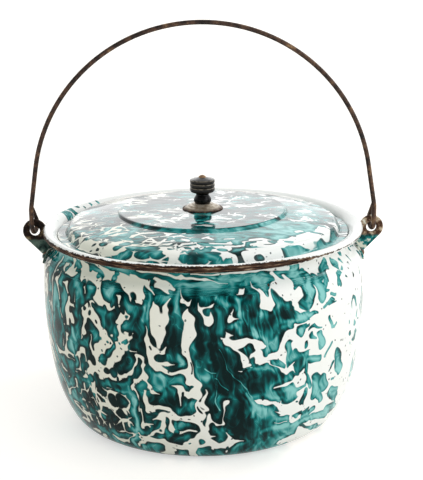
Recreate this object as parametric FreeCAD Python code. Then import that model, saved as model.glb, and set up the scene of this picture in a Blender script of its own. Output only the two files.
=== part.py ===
import FreeCAD, Part
import math
import os

# Covered enamel pot with a wire bail. Sizes are in millimetres and degrees.
# The base stands on Z = 0, the axis of the pot is Z, and the ears lie on the X axis.

# Pot shell
RIM_RADIUS = 140.0
POT_HEIGHT = 173.4
WALL = 1.4
BELLY_OVERHANG = 1.5
UPPER_SIDE_RADIUS = 347.8
UPPER_SIDE_TURN = 11.3
LOWER_SIDE_RADIUS = 117.6
LOWER_SIDE_TURN = 18.3
HEEL_RADIUS = 19.8
SHOULDER_RADIUS = 18.0
LIP_OVERHANG = 12.0
NECK_CURVE = 10.0
BEAD_RADIUS = 3.2
BEAD_END_ANGLE = -165.0
DISH_DEPTH = 1.5
DISH_MARGIN = 12.0
DISH_RUN = 5.0
DISH_CORNER = 6.0

# Lid
LID_SHEET = 1.2
LID_SEAT_OVERLAP = 0.8
LID_GAP = 0.3
LID_FLANGE_WIDTH = 7.0
LID_RISE = 17.5
LID_SHOULDER_RISE = 8.4
LID_SHOULDER_RUN = 3.4
LID_SHOULDER_ROUND = 7.0
LID_FOOT_ROUND = 2.2
LID_PANEL_RADIUS = 73.0
LID_STEP_HEIGHT = 2.4
LID_STEP_RUN = 1.6
LID_STEP_ROUND = 2.0
LID_STEP_FOOT_ROUND = 1.0
LID_CROWN_BULGE = 1.0
LID_CROWN_ROUND = 120.0

# Knob with its skirt, bolt, washer and nut
SKIRT_RADIUS = 17.5
SKIRT_HEIGHT = 5.0
SKIRT_TOP_RADIUS = 8.4
SKIRT_SHEET = 0.8
SKIRT_STEPS = 3
SKIRT_LEDGE_SLOPE = 0.25
SKIRT_ROUND = 0.9
KNOB_FOOT_RADIUS = 6.6
KNOB_COLLAR_RADIUS = 7.7
KNOB_COLLAR_LOW = 2.0
KNOB_COLLAR_HIGH = 4.2
KNOB_COLLAR_ROUND = 1.0
KNOB_NECK_RADIUS = 5.2
KNOB_NECK_HEIGHT = 8.2
KNOB_HEAD_RADIUS = 11.0
KNOB_HEAD_START = 11.0
KNOB_HEAD_HEIGHT = 10.6
KNOB_RIDGES = 3
KNOB_GROOVE_DEPTH = 1.0
KNOB_GROOVE_WIDTH = 1.3
KNOB_RIDGE_ROUND = 0.5
KNOB_CROWN = 1.5
KNOB_CROWN_ROUND = 2.0
BOLT_RADIUS = 2.0
BOLT_HEAD_RADIUS = 3.4
BOLT_HEAD_HEIGHT = 2.0
BOLT_END = 1.5
BOLT_CLEARANCE = 0.2
WASHER_RADIUS = 6.0
WASHER_THICKNESS = 1.0
NUT_SIDE = 7.6
NUT_HEIGHT = 3.2
NUT_CHAMFER = 0.5

# Ears with their rivets
EAR_REACH = 8.6
EAR_DROP = 6.4
EAR_RING_RADIUS = 10.4
EAR_EYE_RADIUS = 4.5
EAR_THICKNESS = 4.0
EAR_EDGE_ROUND = 1.4
EAR_WEB_DROP = 22.0
EAR_WEB_REACH = 1.7
EAR_ROOT_DEPTH = 6.0
EAR_FOOT_LOW = 6.0
EAR_FOOT_HIGH = 48.0
EAR_FOOT_WIDTH = 36.0
EAR_FOOT_THICKNESS = 1.5
EAR_FOOT_CORNER = 5.0
RIVET_SPACING = 22.0
RIVET_ANGLE = 27.0
RIVET_RADIUS = 2.0
RIVET_HEAD_RADIUS = 3.7
RIVET_HEAD_HEIGHT = 1.8
RIVET_TAIL_HEIGHT = 1.3

# Bail
BAIL_WIRE_RADIUS = 2.0
BAIL_RISE = 172.6
BAIL_FLARE = 9.0
BAIL_BEND = 14.0
BAIL_STRAIGHT = 12.0
HOOK_HALF_WIDTH = 6.3
HOOK_DEPTH = 1.75
HOOK_SKEW = 1.3
HOOK_CLOSING = 30.0
TAIL_LENGTH = 14.0
TAIL_TIP_RADIUS = 1.0

# Gap left around pieces that are fixed together, and the smallest length that counts
FIT_GAP = 0.05
TOLERANCE = 1e-6

# Sizes that follow from the values above
NECK_RADIUS = RIM_RADIUS - LIP_OVERHANG
BELLY_RADIUS = RIM_RADIUS + BELLY_OVERHANG
RIM_WIRE_RADIUS = BEAD_RADIUS - WALL - FIT_GAP
BOLT_HOLE = BOLT_RADIUS + BOLT_CLEARANCE
EAR_X = RIM_RADIUS + EAR_REACH
EAR_Z = POT_HEIGHT - EAR_DROP
PIVOT_Z = EAR_Z + (EAR_RING_RADIUS + EAR_EYE_RADIUS) / 2
Z_AXIS = FreeCAD.Vector(0, 0, 1)
ORIGIN = FreeCAD.Vector(0, 0, 0)


def polar(centre, radius, angle):
    """Point (r, z) at an angle in degrees around a centre in the half-plane of the profile."""
    turn = math.radians(angle)
    return (centre[0] + radius * math.cos(turn), centre[1] + radius * math.sin(turn))


def bearing(start, end):
    """Direction from one profile point to another, in degrees."""
    return math.degrees(math.atan2(end[1] - start[1], end[0] - start[0]))


def arc(centre, radius, start, end):
    return ("arc", centre, radius, start, end)


def line(start, end):
    return ("line", start, end)


def ends(segment):
    """First and last point of a path segment."""
    if segment[0] == "line":
        return segment[1], segment[2]
    centre, radius, start, end = segment[1:]
    return polar(centre, radius, start), polar(centre, radius, end)


def offset(path, distance):
    """Path moved to its left by a distance. Its segments meet tangentially, so they stay joined."""
    moved = []
    for segment in path:
        if segment[0] == "line":
            left = bearing(segment[1], segment[2]) + 90
            moved.append(line(polar(segment[1], distance, left), polar(segment[2], distance, left)))
        else:
            centre, radius, start, end = segment[1:]
            inward = distance if end > start else -distance
            moved.append(arc(centre, radius - inward, start, end))
    return moved


def rounded(corners):
    """Path of lines and arcs through corners given as (r, z, rounding radius)."""
    path = []
    here = corners[0][:2]
    for index in range(1, len(corners) - 1):
        before = corners[index - 1][:2]
        corner = corners[index][:2]
        radius = corners[index][2]
        arriving = bearing(before, corner)
        leaving = bearing(corner, corners[index + 1][:2])
        turn = (leaving - arriving + 180) % 360 - 180
        reach = radius * math.tan(math.radians(abs(turn)) / 2)
        entry = polar(corner, -reach, arriving)
        side = 90 if turn > 0 else -90
        centre = polar(entry, radius, arriving + side)
        path.append(line(here, entry))
        path.append(arc(centre, radius, arriving - side, arriving - side + turn))
        here = polar(corner, reach, leaving)
    path.append(line(here, corners[-1][:2]))
    return path


def at(place):
    """Profile point (r, z) as a point in the XZ plane."""
    return FreeCAD.Vector(place[0], 0, place[1])


def edge(segment):
    start, end = ends(segment)
    if segment[0] == "line":
        return Part.LineSegment(at(start), at(end)).toShape()
    centre, radius, first, last = segment[1:]
    middle = polar(centre, radius, (first + last) / 2)
    return Part.Arc(at(start), at(middle), at(end)).toShape()


def closed_face(path):
    """Face inside a path, closed by a straight line where its ends are apart."""
    edges = [edge(segment) for segment in path]
    first = at(ends(path[0])[0])
    last = at(ends(path[-1])[1])
    if first.distanceToPoint(last) > TOLERANCE:
        edges.append(Part.LineSegment(last, first).toShape())
    return Part.Face(Part.Wire(edges))


def reverse(path):
    back = []
    for segment in reversed(path):
        if segment[0] == "line":
            back.append(line(segment[2], segment[1]))
        else:
            back.append(arc(segment[1], segment[2], segment[4], segment[3]))
    return back


def revolve(face, angle=360.0):
    return face.revolve(ORIGIN, Z_AXIS, angle)


def sheet(path, thickness, rounded_end=False):
    """Sheet of even thickness on the left of a path, turned around the Z axis."""
    other = reverse(offset(path, thickness))
    outer_end = ends(path[-1])[1]
    inner_end = ends(other[0])[0]
    if rounded_end:
        centre = ((outer_end[0] + inner_end[0]) / 2, (outer_end[1] + inner_end[1]) / 2)
        start = bearing(centre, outer_end)
        cap = arc(centre, abs(thickness) / 2, start, start + math.copysign(180, thickness))
    else:
        cap = line(outer_end, inner_end)
    return revolve(closed_face(path + [cap] + other))


def cylinder(radius, low, high):
    return Part.makeCylinder(radius, high - low, FreeCAD.Vector(0, 0, low))


def mirrored_side(shape):
    """Copy of a piece from the +X side, turned half a round to the other side."""
    copy = shape.copy()
    copy.rotate(ORIGIN, Z_AXIS, 180)
    return copy


# The outside of the pot as arcs that meet tangentially, from the base up to the rolled rim.
SIDE_LOW_ANGLE = -(UPPER_SIDE_TURN + LOWER_SIDE_TURN)
SIDE_HIGH_ANGLE = -UPPER_SIDE_TURN
UPPER_STEP = polar((0, 0), UPPER_SIDE_RADIUS, SIDE_HIGH_ANGLE)
LOWER_TOP = polar((0, 0), LOWER_SIDE_RADIUS, SIDE_HIGH_ANGLE)
LOWER_BOTTOM = polar((0, 0), LOWER_SIDE_RADIUS, SIDE_LOW_ANGLE)
HEEL_TOP = polar((0, 0), HEEL_RADIUS, SIDE_LOW_ANGLE)
LOWER_STEP = (LOWER_TOP[0] - LOWER_BOTTOM[0], LOWER_TOP[1] - LOWER_BOTTOM[1])
BELLY_Z = LOWER_STEP[1] + HEEL_RADIUS + HEEL_TOP[1] - UPPER_STEP[1]
BASE_RADIUS = BELLY_RADIUS - UPPER_SIDE_RADIUS + UPPER_STEP[0] - LOWER_STEP[0] - HEEL_TOP[0]
HEEL_CENTRE = (BASE_RADIUS, HEEL_RADIUS)
UPPER_CENTRE = (BELLY_RADIUS - UPPER_SIDE_RADIUS, BELLY_Z)
LOWER_CENTRE = polar(UPPER_CENTRE, UPPER_SIDE_RADIUS - LOWER_SIDE_RADIUS, SIDE_HIGH_ANGLE)
BEAD_CENTRE = (RIM_RADIUS - BEAD_RADIUS, POT_HEIGHT - BEAD_RADIUS)
NECK_TO_BEAD = NECK_CURVE + WALL - BEAD_RADIUS
NECK_CENTRE_R = NECK_RADIUS + NECK_CURVE
NECK_LIFT = math.sqrt(NECK_TO_BEAD ** 2 - (NECK_CENTRE_R - BEAD_CENTRE[0]) ** 2)
NECK_CENTRE = (NECK_CENTRE_R, BEAD_CENTRE[1] - NECK_LIFT)
LIP_ANGLE = bearing(NECK_CENTRE, BEAD_CENTRE)


def tangent_shoulder():
    """Centre of the shoulder arc, which touches the upper side and the neck."""
    far = UPPER_SIDE_RADIUS - SHOULDER_RADIUS
    near = SHOULDER_RADIUS + NECK_CURVE
    span = math.dist(UPPER_CENTRE, NECK_CENTRE)
    along = (far ** 2 - near ** 2 + span ** 2) / (2 * span)
    aside = math.sqrt(far ** 2 - along ** 2)
    heading = bearing(UPPER_CENTRE, NECK_CENTRE)
    return polar(polar(UPPER_CENTRE, along, heading), aside, heading - 90)


SHOULDER_CENTRE = tangent_shoulder()
SHOULDER_START = bearing(UPPER_CENTRE, SHOULDER_CENTRE)
SHOULDER_END = bearing(SHOULDER_CENTRE, NECK_CENTRE)


def side_path():
    """Outside of the pot from the edge of the base to the underside of the lip."""
    return [
        arc(HEEL_CENTRE, HEEL_RADIUS, -90, SIDE_LOW_ANGLE),
        arc(LOWER_CENTRE, LOWER_SIDE_RADIUS, SIDE_LOW_ANGLE, SIDE_HIGH_ANGLE),
        arc(UPPER_CENTRE, UPPER_SIDE_RADIUS, SIDE_HIGH_ANGLE, SHOULDER_START),
        arc(SHOULDER_CENTRE, SHOULDER_RADIUS, SHOULDER_START, SHOULDER_END),
        arc(NECK_CENTRE, NECK_CURVE, SHOULDER_END + 180, LIP_ANGLE),
    ]


def base_path():
    """Underside of the base: a shallow dish inside the ring that the pot stands on."""
    ring = BASE_RADIUS - DISH_MARGIN
    return rounded([
        (0, DISH_DEPTH, 0),
        (ring - DISH_RUN, DISH_DEPTH, DISH_CORNER),
        (ring, 0, DISH_CORNER),
        (BASE_RADIUS, 0, 0),
    ])


def make_pot():
    curl = arc(BEAD_CENTRE, BEAD_RADIUS - WALL, LIP_ANGLE, BEAD_END_ANGLE)
    pot = sheet(base_path() + side_path() + [curl], WALL)
    for hole in rivet_shanks(RIVET_RADIUS + FIT_GAP):
        pot = pot.cut(hole).cut(mirrored_side(hole))
    return pot


def make_rim_wire():
    return Part.makeTorus(BEAD_CENTRE[0], RIM_WIRE_RADIUS, FreeCAD.Vector(0, 0, BEAD_CENTRE[1]))


def rivet_frames():
    """Place and outward direction of each rivet on the +X side, on the outside of the pot."""
    frames = []
    place = polar(SHOULDER_CENTRE, SHOULDER_RADIUS, RIVET_ANGLE)
    outward = polar((0, 0), 1, RIVET_ANGLE)
    for side in (-1, 1):
        swing = math.asin(side * RIVET_SPACING / 2 / place[0])
        turn = FreeCAD.Rotation(Z_AXIS, math.degrees(swing))
        frames.append((turn.multVec(at(place)), turn.multVec(at(outward))))
    return frames


def rivet_shanks(radius):
    """Round bars through the wall and the foot of the +X ear."""
    inside = WALL + RIVET_TAIL_HEIGHT
    outside = EAR_FOOT_THICKNESS + RIVET_HEAD_HEIGHT
    bars = []
    for place, outward in rivet_frames():
        bars.append(Part.makeCylinder(radius, inside + outside, place - outward * inside, outward))
    return bars


def dome(radius, height, base):
    """Arc of a domed head from its edge at a base height up to the axis, or down for a negative height."""
    ball = (radius ** 2 + height ** 2) / (2 * height)
    centre = (0, base + height - ball)
    return arc(centre, abs(ball), bearing(centre, (radius, base)), math.copysign(90, height))


def make_rivets():
    """Two rivets on the +X side: a domed head on the ear and a flatter tail in the pot."""
    hollow = SHOULDER_RADIUS - WALL
    sink = hollow - math.sqrt(hollow ** 2 - RIVET_HEAD_RADIUS ** 2)
    inner = -(WALL + sink + FIT_GAP)
    outer = EAR_FOOT_THICKNESS + 2 * FIT_GAP
    profile = reverse([dome(RIVET_HEAD_RADIUS, -RIVET_TAIL_HEIGHT, inner)])
    profile.append(line((RIVET_HEAD_RADIUS, inner), (RIVET_RADIUS, inner)))
    profile.append(line((RIVET_RADIUS, inner), (RIVET_RADIUS, outer)))
    profile.append(line((RIVET_RADIUS, outer), (RIVET_HEAD_RADIUS, outer)))
    profile.append(dome(RIVET_HEAD_RADIUS, RIVET_HEAD_HEIGHT, outer))
    rivets = []
    for place, outward in rivet_frames():
        rivet = revolve(closed_face(profile))
        rivet.Placement = FreeCAD.Placement(place, FreeCAD.Rotation(Z_AXIS, outward))
        rivets.append(rivet)
    return Part.makeCompound(rivets)


def pot_envelope():
    """Space that the ear keeps clear of: the pot with its gap, and the bead of the rim."""
    skin = offset(side_path(), -FIT_GAP)
    top = ends(skin[-1])[1]
    bottom = ends(skin[0])[0]
    body = revolve(closed_face([line((0, bottom[1]), bottom)] + skin + [line(top, (0, top[1]))]))
    bead = Part.makeTorus(BEAD_CENTRE[0], BEAD_RADIUS + FIT_GAP, FreeCAD.Vector(0, 0, BEAD_CENTRE[1]))
    return body.fuse(bead)


def ear_plate():
    """Upright plate of the +X ear: a round eye over a web that slopes back to the shoulder."""
    eye = (EAR_X, EAR_Z)
    web_end = (RIM_RADIUS + EAR_WEB_REACH, EAR_Z - EAR_WEB_DROP)
    root = RIM_RADIUS - EAR_ROOT_DEPTH
    lean = math.degrees(math.asin(EAR_RING_RADIUS / math.dist(web_end, eye)))
    slope = bearing(web_end, eye) - lean
    touch = polar(eye, EAR_RING_RADIUS, slope - 90)
    toe = (root, web_end[1] - (web_end[0] - root) * math.tan(math.radians(slope)))
    back = (EAR_X - EAR_RING_RADIUS, EAR_Z)
    outline = [
        arc(eye, EAR_RING_RADIUS, 180, slope - 90),
        line(touch, toe),
        line(toe, (root, EAR_Z)),
        line((root, EAR_Z), back),
    ]
    face = closed_face(outline)
    face.translate(FreeCAD.Vector(0, -EAR_THICKNESS / 2, 0))
    plate = face.extrude(FreeCAD.Vector(0, EAR_THICKNESS, 0))
    start = FreeCAD.Vector(EAR_X, -EAR_THICKNESS, EAR_Z)
    plate = plate.cut(Part.makeCylinder(EAR_EYE_RADIUS, 2 * EAR_THICKNESS, start, FreeCAD.Vector(0, 1, 0)))
    soft = []
    for rim in plate.Edges:
        flat = abs(abs(rim.CenterOfMass.y) - EAR_THICKNESS / 2) < TOLERANCE
        if flat and (rim.Curve.TypeId == "Part::GeomCircle" or rim.CenterOfMass.x > RIM_RADIUS):
            soft.append(rim)
    return plate.makeFillet(EAR_EDGE_ROUND, soft)


def ear_foot():
    """Foot of the +X ear: a plate that follows the shoulder of the pot."""
    inner = SHOULDER_RADIUS + FIT_GAP
    outer = inner + EAR_FOOT_THICKNESS
    path = [
        arc(SHOULDER_CENTRE, inner, EAR_FOOT_LOW, EAR_FOOT_HIGH),
        line(polar(SHOULDER_CENTRE, inner, EAR_FOOT_HIGH), polar(SHOULDER_CENTRE, outer, EAR_FOOT_HIGH)),
        arc(SHOULDER_CENTRE, outer, EAR_FOOT_HIGH, EAR_FOOT_LOW),
    ]
    half = math.degrees(math.asin(EAR_FOOT_WIDTH / 2 / BELLY_RADIUS))
    face = closed_face(path)
    face.rotate(ORIGIN, Z_AXIS, -half)
    foot = revolve(face, 2 * half)
    corners = [rim for rim in foot.Edges if abs(rim.Length - EAR_FOOT_THICKNESS) < TOLERANCE]
    return foot.makeFillet(EAR_FOOT_CORNER, corners)


def make_ear():
    ear = ear_plate().cut(pot_envelope()).fuse(ear_foot()).removeSplitter()
    for hole in rivet_shanks(RIVET_RADIUS + FIT_GAP):
        ear = ear.cut(hole)
    return ear


def lid_seat_z():
    """Height of the middle of the lid's edge, where it rests on the flared lip."""
    reach = NECK_CURVE + WALL + LID_SHEET / 2 + LID_GAP
    aside = NECK_CENTRE[0] - (LID_EDGE_RADIUS - LID_SHEET / 2)
    return NECK_CENTRE[1] + math.sqrt(reach ** 2 - aside ** 2)


LID_EDGE_RADIUS = NECK_RADIUS - WALL + LID_SEAT_OVERLAP
LID_FLANGE_Z = lid_seat_z() + LID_SHEET / 2
LID_TOP_Z = LID_FLANGE_Z + LID_RISE
SKIRT_TOP_Z = LID_TOP_Z + SKIRT_HEIGHT
KNOB_TOP_Z = SKIRT_TOP_Z + KNOB_HEAD_START + KNOB_HEAD_HEIGHT + KNOB_CROWN


def make_lid():
    """Domed lid with a raised centre panel and a flat flange."""
    foot = LID_EDGE_RADIUS - LID_FLANGE_WIDTH
    step = (LID_PANEL_RADIUS + LID_STEP_RUN, LID_TOP_Z - LID_STEP_HEIGHT)
    shoulder = (foot - LID_SHOULDER_RUN, LID_FLANGE_Z + LID_SHOULDER_RISE)
    crown = ((step[0] + shoulder[0]) / 2, (step[1] + shoulder[1]) / 2 + LID_CROWN_BULGE)
    path = rounded([
        (BOLT_HOLE, LID_TOP_Z, 0),
        (LID_PANEL_RADIUS, LID_TOP_Z, LID_STEP_ROUND),
        (step[0], step[1], LID_STEP_FOOT_ROUND),
        (crown[0], crown[1], LID_CROWN_ROUND),
        (shoulder[0], shoulder[1], LID_SHOULDER_ROUND),
        (foot, LID_FLANGE_Z, LID_FOOT_ROUND),
        (LID_EDGE_RADIUS - LID_SHEET / 2, LID_FLANGE_Z, 0),
    ])
    return sheet(path, -LID_SHEET, rounded_end=True)


def make_skirt():
    """Pressed cup under the knob, with a round of steps down to the lid."""
    run = (SKIRT_RADIUS - SKIRT_TOP_RADIUS) / SKIRT_STEPS
    drop = (SKIRT_HEIGHT - SKIRT_SHEET) / SKIRT_STEPS
    corners = [(BOLT_HOLE, SKIRT_TOP_Z, 0), (SKIRT_TOP_RADIUS, SKIRT_TOP_Z, SKIRT_ROUND)]
    for index in range(SKIRT_STEPS):
        r = SKIRT_TOP_RADIUS + index * run
        z = SKIRT_TOP_Z - index * drop
        corners.append((r + run / 2, z - drop * (1 - SKIRT_LEDGE_SLOPE), SKIRT_ROUND))
        corners.append((r + run, z - drop, SKIRT_ROUND))
    corners[-1] = (SKIRT_RADIUS, LID_TOP_Z + SKIRT_SHEET, 0)
    return sheet(rounded(corners), -SKIRT_SHEET, rounded_end=True)


def make_knob():
    """Turned knob: a collar, a neck and a ridged head with a low crown."""
    z = SKIRT_TOP_Z
    head = z + KNOB_HEAD_START
    pitch = KNOB_HEAD_HEIGHT / KNOB_RIDGES
    half = KNOB_GROOVE_WIDTH / 2
    corners = [
        (BOLT_HOLE, z, 0),
        (KNOB_FOOT_RADIUS, z, KNOB_RIDGE_ROUND),
        (KNOB_COLLAR_RADIUS, z + KNOB_COLLAR_LOW, KNOB_COLLAR_ROUND),
        (KNOB_COLLAR_RADIUS, z + KNOB_COLLAR_HIGH, KNOB_COLLAR_ROUND),
        (KNOB_NECK_RADIUS, z + KNOB_NECK_HEIGHT, KNOB_COLLAR_ROUND),
        (KNOB_HEAD_RADIUS - KNOB_GROOVE_DEPTH, head - half, KNOB_RIDGE_ROUND),
    ]
    for index in range(KNOB_RIDGES):
        low = head + index * pitch
        corners.append((KNOB_HEAD_RADIUS, low + half, KNOB_RIDGE_ROUND))
        corners.append((KNOB_HEAD_RADIUS, low + pitch - half, KNOB_RIDGE_ROUND))
        if index < KNOB_RIDGES - 1:
            corners.append((KNOB_HEAD_RADIUS - KNOB_GROOVE_DEPTH, low + pitch, KNOB_RIDGE_ROUND))
    corners.append((KNOB_HEAD_RADIUS - KNOB_CROWN, head + KNOB_HEAD_HEIGHT, KNOB_CROWN_ROUND))
    corners.append((BOLT_HEAD_RADIUS, KNOB_TOP_Z, KNOB_CROWN_ROUND))
    corners.append((BOLT_HOLE, KNOB_TOP_Z, 0))
    return revolve(closed_face(rounded(corners)))


def make_washer():
    top = LID_TOP_Z - LID_SHEET
    bottom = top - WASHER_THICKNESS
    return cylinder(WASHER_RADIUS, bottom, top).cut(cylinder(BOLT_HOLE, bottom, top))


def make_nut():
    """Square nut against the washer, with its lower corners turned off."""
    top = LID_TOP_Z - LID_SHEET - WASHER_THICKNESS
    bottom = top - NUT_HEIGHT
    half = NUT_SIDE / 2
    block = Part.makeBox(NUT_SIDE, NUT_SIDE, NUT_HEIGHT, FreeCAD.Vector(-half, -half, bottom))
    rise = NUT_SIDE / math.sqrt(2) - half + NUT_CHAMFER
    bevel = Part.makeCone(half, half + rise, rise, FreeCAD.Vector(0, 0, bottom))
    round_off = bevel.fuse(cylinder(NUT_SIDE, bottom + rise, top))
    return block.common(round_off).cut(cylinder(BOLT_RADIUS + FIT_GAP, bottom, top)).removeSplitter()


def make_bolt():
    """Bolt from the crown of the knob to below the nut."""
    bottom = LID_TOP_Z - LID_SHEET - WASHER_THICKNESS - NUT_HEIGHT - BOLT_END
    return revolve(closed_face([
        line((0, bottom), (BOLT_RADIUS, bottom)),
        line((BOLT_RADIUS, bottom), (BOLT_RADIUS, KNOB_TOP_Z)),
        line((BOLT_RADIUS, KNOB_TOP_Z), (BOLT_HEAD_RADIUS, KNOB_TOP_Z)),
        dome(BOLT_HEAD_RADIUS, BOLT_HEAD_HEIGHT, KNOB_TOP_Z),
    ]))


def wire_bar(start, end):
    along = end - start
    return Part.makeCylinder(BAIL_WIRE_RADIUS, along.Length, start, along)


def wire_bend(centre, axis, start, angle):
    """Bent length of wire that begins at a point and turns about an axis through a centre."""
    section = Part.makeCircle(BAIL_WIRE_RADIUS, start, axis.cross(start - centre))
    return Part.Face(Part.Wire(section)).revolve(centre, axis, angle)


def turned(point, centre, axis, angle):
    return centre + FreeCAD.Rotation(axis, angle).multVec(point - centre)


def bail_hook():
    """Hook of the +X end: a bend under the bar of the eye and a tapered tail that leans back."""
    leg_end = FreeCAD.Vector(EAR_X + HOOK_SKEW, -HOOK_HALF_WIDTH, PIVOT_Z - HOOK_DEPTH)
    centre = FreeCAD.Vector(EAR_X, 0, PIVOT_Z - HOOK_DEPTH)
    axis = Z_AXIS.cross(leg_end - centre).normalize()
    sweep = 180 + HOOK_CLOSING
    bend = wire_bend(centre, axis, leg_end, sweep)
    tail_start = turned(leg_end, centre, axis, sweep)
    heading = axis.cross(tail_start - centre).normalize()
    tail = Part.makeCone(BAIL_WIRE_RADIUS, TAIL_TIP_RADIUS, TAIL_LENGTH, tail_start, heading)
    tip = Part.makeSphere(TAIL_TIP_RADIUS, tail_start + heading * TAIL_LENGTH)
    return leg_end, bend.fuse(tail).fuse(tip)


def bail_leg():
    """The +X half of the bail, from its hook to the middle of the arch."""
    leg_end, hook = bail_hook()
    flare = math.radians(BAIL_FLARE)
    straight_top = FreeCAD.Vector(leg_end.x, leg_end.y, PIVOT_Z + BAIL_STRAIGHT)
    back = FreeCAD.Vector(0, -1, 0)
    bend_centre = straight_top - FreeCAD.Vector(BAIL_BEND, 0, 0)
    bend_top = turned(straight_top, bend_centre, back, BAIL_FLARE)
    top_z = PIVOT_Z + BAIL_RISE
    rise = top_z - bend_top.z
    reach = bend_top.x - rise * math.tan(flare)
    radius = reach / (math.cos(flare) + math.tan(flare) * (math.sin(flare) - 1))
    arch_centre = FreeCAD.Vector(0, leg_end.y, top_z - radius)
    arch_foot = arch_centre + FreeCAD.Vector(radius * math.cos(flare), 0, radius * math.sin(flare))
    pieces = [
        wire_bar(leg_end, straight_top),
        wire_bend(bend_centre, back, straight_top, BAIL_FLARE),
        wire_bar(bend_top, arch_foot),
        wire_bend(arch_centre, back, arch_foot, 90 - BAIL_FLARE),
    ]
    return hook.multiFuse(pieces)


def make_bail():
    leg = bail_leg()
    other = leg.mirror(ORIGIN, FreeCAD.Vector(1, 0, 0))
    return leg.fuse(other).removeSplitter()


def save(name, shape):
    shape.exportStep(os.path.join("parts", name + ".step"))


def main():
    os.makedirs("parts", exist_ok=True)
    pot = make_pot()
    ear = make_ear()
    rivets = make_rivets()
    save("pot_body", pot)
    save("rim_wire", make_rim_wire())
    save("right_ear", ear)
    save("left_ear", mirrored_side(ear))
    save("right_ear_rivets", rivets)
    save("left_ear_rivets", mirrored_side(rivets))
    save("bail", make_bail())
    save("lid", make_lid())
    save("lid_knob", make_knob())
    save("knob_skirt", make_skirt())
    save("knob_bolt", make_bolt())
    save("lid_washer", make_washer())
    save("knob_nut", make_nut())


main()
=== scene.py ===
import math

import bpy
from mathutils import Matrix, Vector

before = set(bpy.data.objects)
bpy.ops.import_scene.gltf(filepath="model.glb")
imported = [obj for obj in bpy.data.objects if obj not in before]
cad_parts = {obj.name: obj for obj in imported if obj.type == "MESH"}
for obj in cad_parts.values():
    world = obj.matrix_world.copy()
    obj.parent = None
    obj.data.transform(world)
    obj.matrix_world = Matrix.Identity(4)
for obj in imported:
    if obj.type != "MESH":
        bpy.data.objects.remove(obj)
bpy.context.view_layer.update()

# Covered enamel pot with a wire bail. Lengths in materials are in millimetres, in the scene in metres.
MILLIMETRE = 0.001
TO_DEGREES = 180 / math.pi

# Camera and picture
IMAGE_HEIGHT = 480
FOCAL_PIXELS = 1128.3
SENSOR = 36
AIM = Vector((0.00738, 0, 0.15635))
DISTANCE = 1
ELEVATION = 15.06
ROLL = -0.75

# Stage and light. A lamp has its place, the place that it points at, its size and its power.
FLOOR_SIZE = 40
FLOOR_COLOUR = (0.86, 0.835, 0.79, 1)
FLOOR_SHADE = (0.66, 0.635, 0.59, 1)
FLOOR_GLOW = 0.53
WHITE = (1, 1, 1, 1)
AMBIENT = 0.8
ROOM = 0.25
LAMPS = (
    ("window_right", (1.3, 0.6, 1.4), (0, 0, 0.12), (0.5, 0.5), 7),
    ("window_front", (1.5, -1, 0.9), (0, 0, 0.12), (1.8, 1.6), 13.2),
    ("back_glow", (0.2, 7.8, 2.9), (0, 0, 0.18), (9, 4.6), 165),
)

# Places on the pot, the lid, the knob and the ears
BEAD_RING = 136.8
BEAD_Z = 170.2
BEAD_RADIUS = 3.2
BELLY_RADIUS = 141.5
BELLY_ARC = BELLY_RADIUS * math.pi / 180
NECK_Z = 150
LIP_Z = 160
LID_PANEL = 73
RIDGE_RING = 11
EAR_BARE_Z = 166
EAR_ENAMEL_Z = 163

# Places in the pattern of the front, in degrees and millimetres
GREEN_EDGE = 37
PATCH_ANGLE = -39
PATCH_Z = 42
BORDER_WANDER = 22
PATCH_WIDE = (12, 18)
PATCH_HIGH = (18, 28)
DROPS_HIGH = (30, 50)

# Stretches around the pot over which a change comes in, in degrees
RIGHT_BORDER = (57, 64)
LEFT_BORDER = (-66, -74)
THIN_SIDES = (66, 86)
THIN_LEFT = (-90, -60)
DROPS_FRONT = (-24, -17)
DROPS_RIGHT = (8, 13)
# Where the green is painted lighter on the right, towards the lamps: painted light
PAINTED_LIGHT_FRONT = (8, 30)
PAINTED_LIGHT_RIGHT = (34, 54)
PAINTED_LIGHT_END = (88, 68)
SMEAR_END = (10, 26)
LEANING = (-5, 40)
# Where the white is painted creamier and darker on the left, away from the lamps: painted shade
PAINTED_SHADE_LEFT = (30, -40)
PAINTED_SHADE_END = (-175, -110)
WORN_LEFT = (-100, -84)
WORN_FRONT = (-55, -15)
WORN_END = (24, 46)

# Tone of the green by the distance to its edge: from where to where, and the tone at both
RIM_TONE = (0.2, -2, -0.12, 0)
MIDDLE_TONE = (-1.4, -3.6, 0, 0.13)
DEPTH_TONE = (-4.5, -9, 0, -0.18)

# Waves that bend each pattern: length and amount
POT_WAVES = ((18, 2.6), (9, 2.1))
LID_WAVES = ((20, 2.2), (9, 1.6))
CELL_WAVES = ((34, 10), (12, 3))
VEIN_WAVE = (30, 8)
DROP_WAVE = (12, 2.2)
SPECK_WAVE = (5, 1.2)
LIP_WAVE = (9, 0.8)
CHIP_WAVE = (3, 0.8)

# Sizes in the patterns. A pattern is the distance to the edge of its green, below zero in the green.
WHITE_JOINT = 6
GREEN_JOINT = 1
POT_WHITE_IN = 0.5
LID_WHITE_OUT = 0.2
SOFT_EDGE = 0.22
VEIN_SPACING = 15
DROP_SPACING = 8
CELL_REACH = 0.76

# Middle of a noise, a distance that takes a pattern away, and one beyond all strokes
MIDDLE = 0.5
AWAY = 9
FAR = 1000

# Gloss
ENAMEL_IOR = 1.17
LID_IOR = 1.38
KNOB_IOR = 1.33
ENAMEL_ROUGHNESS = 0.07
RUST_ROUGHNESS = 0.6

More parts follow.
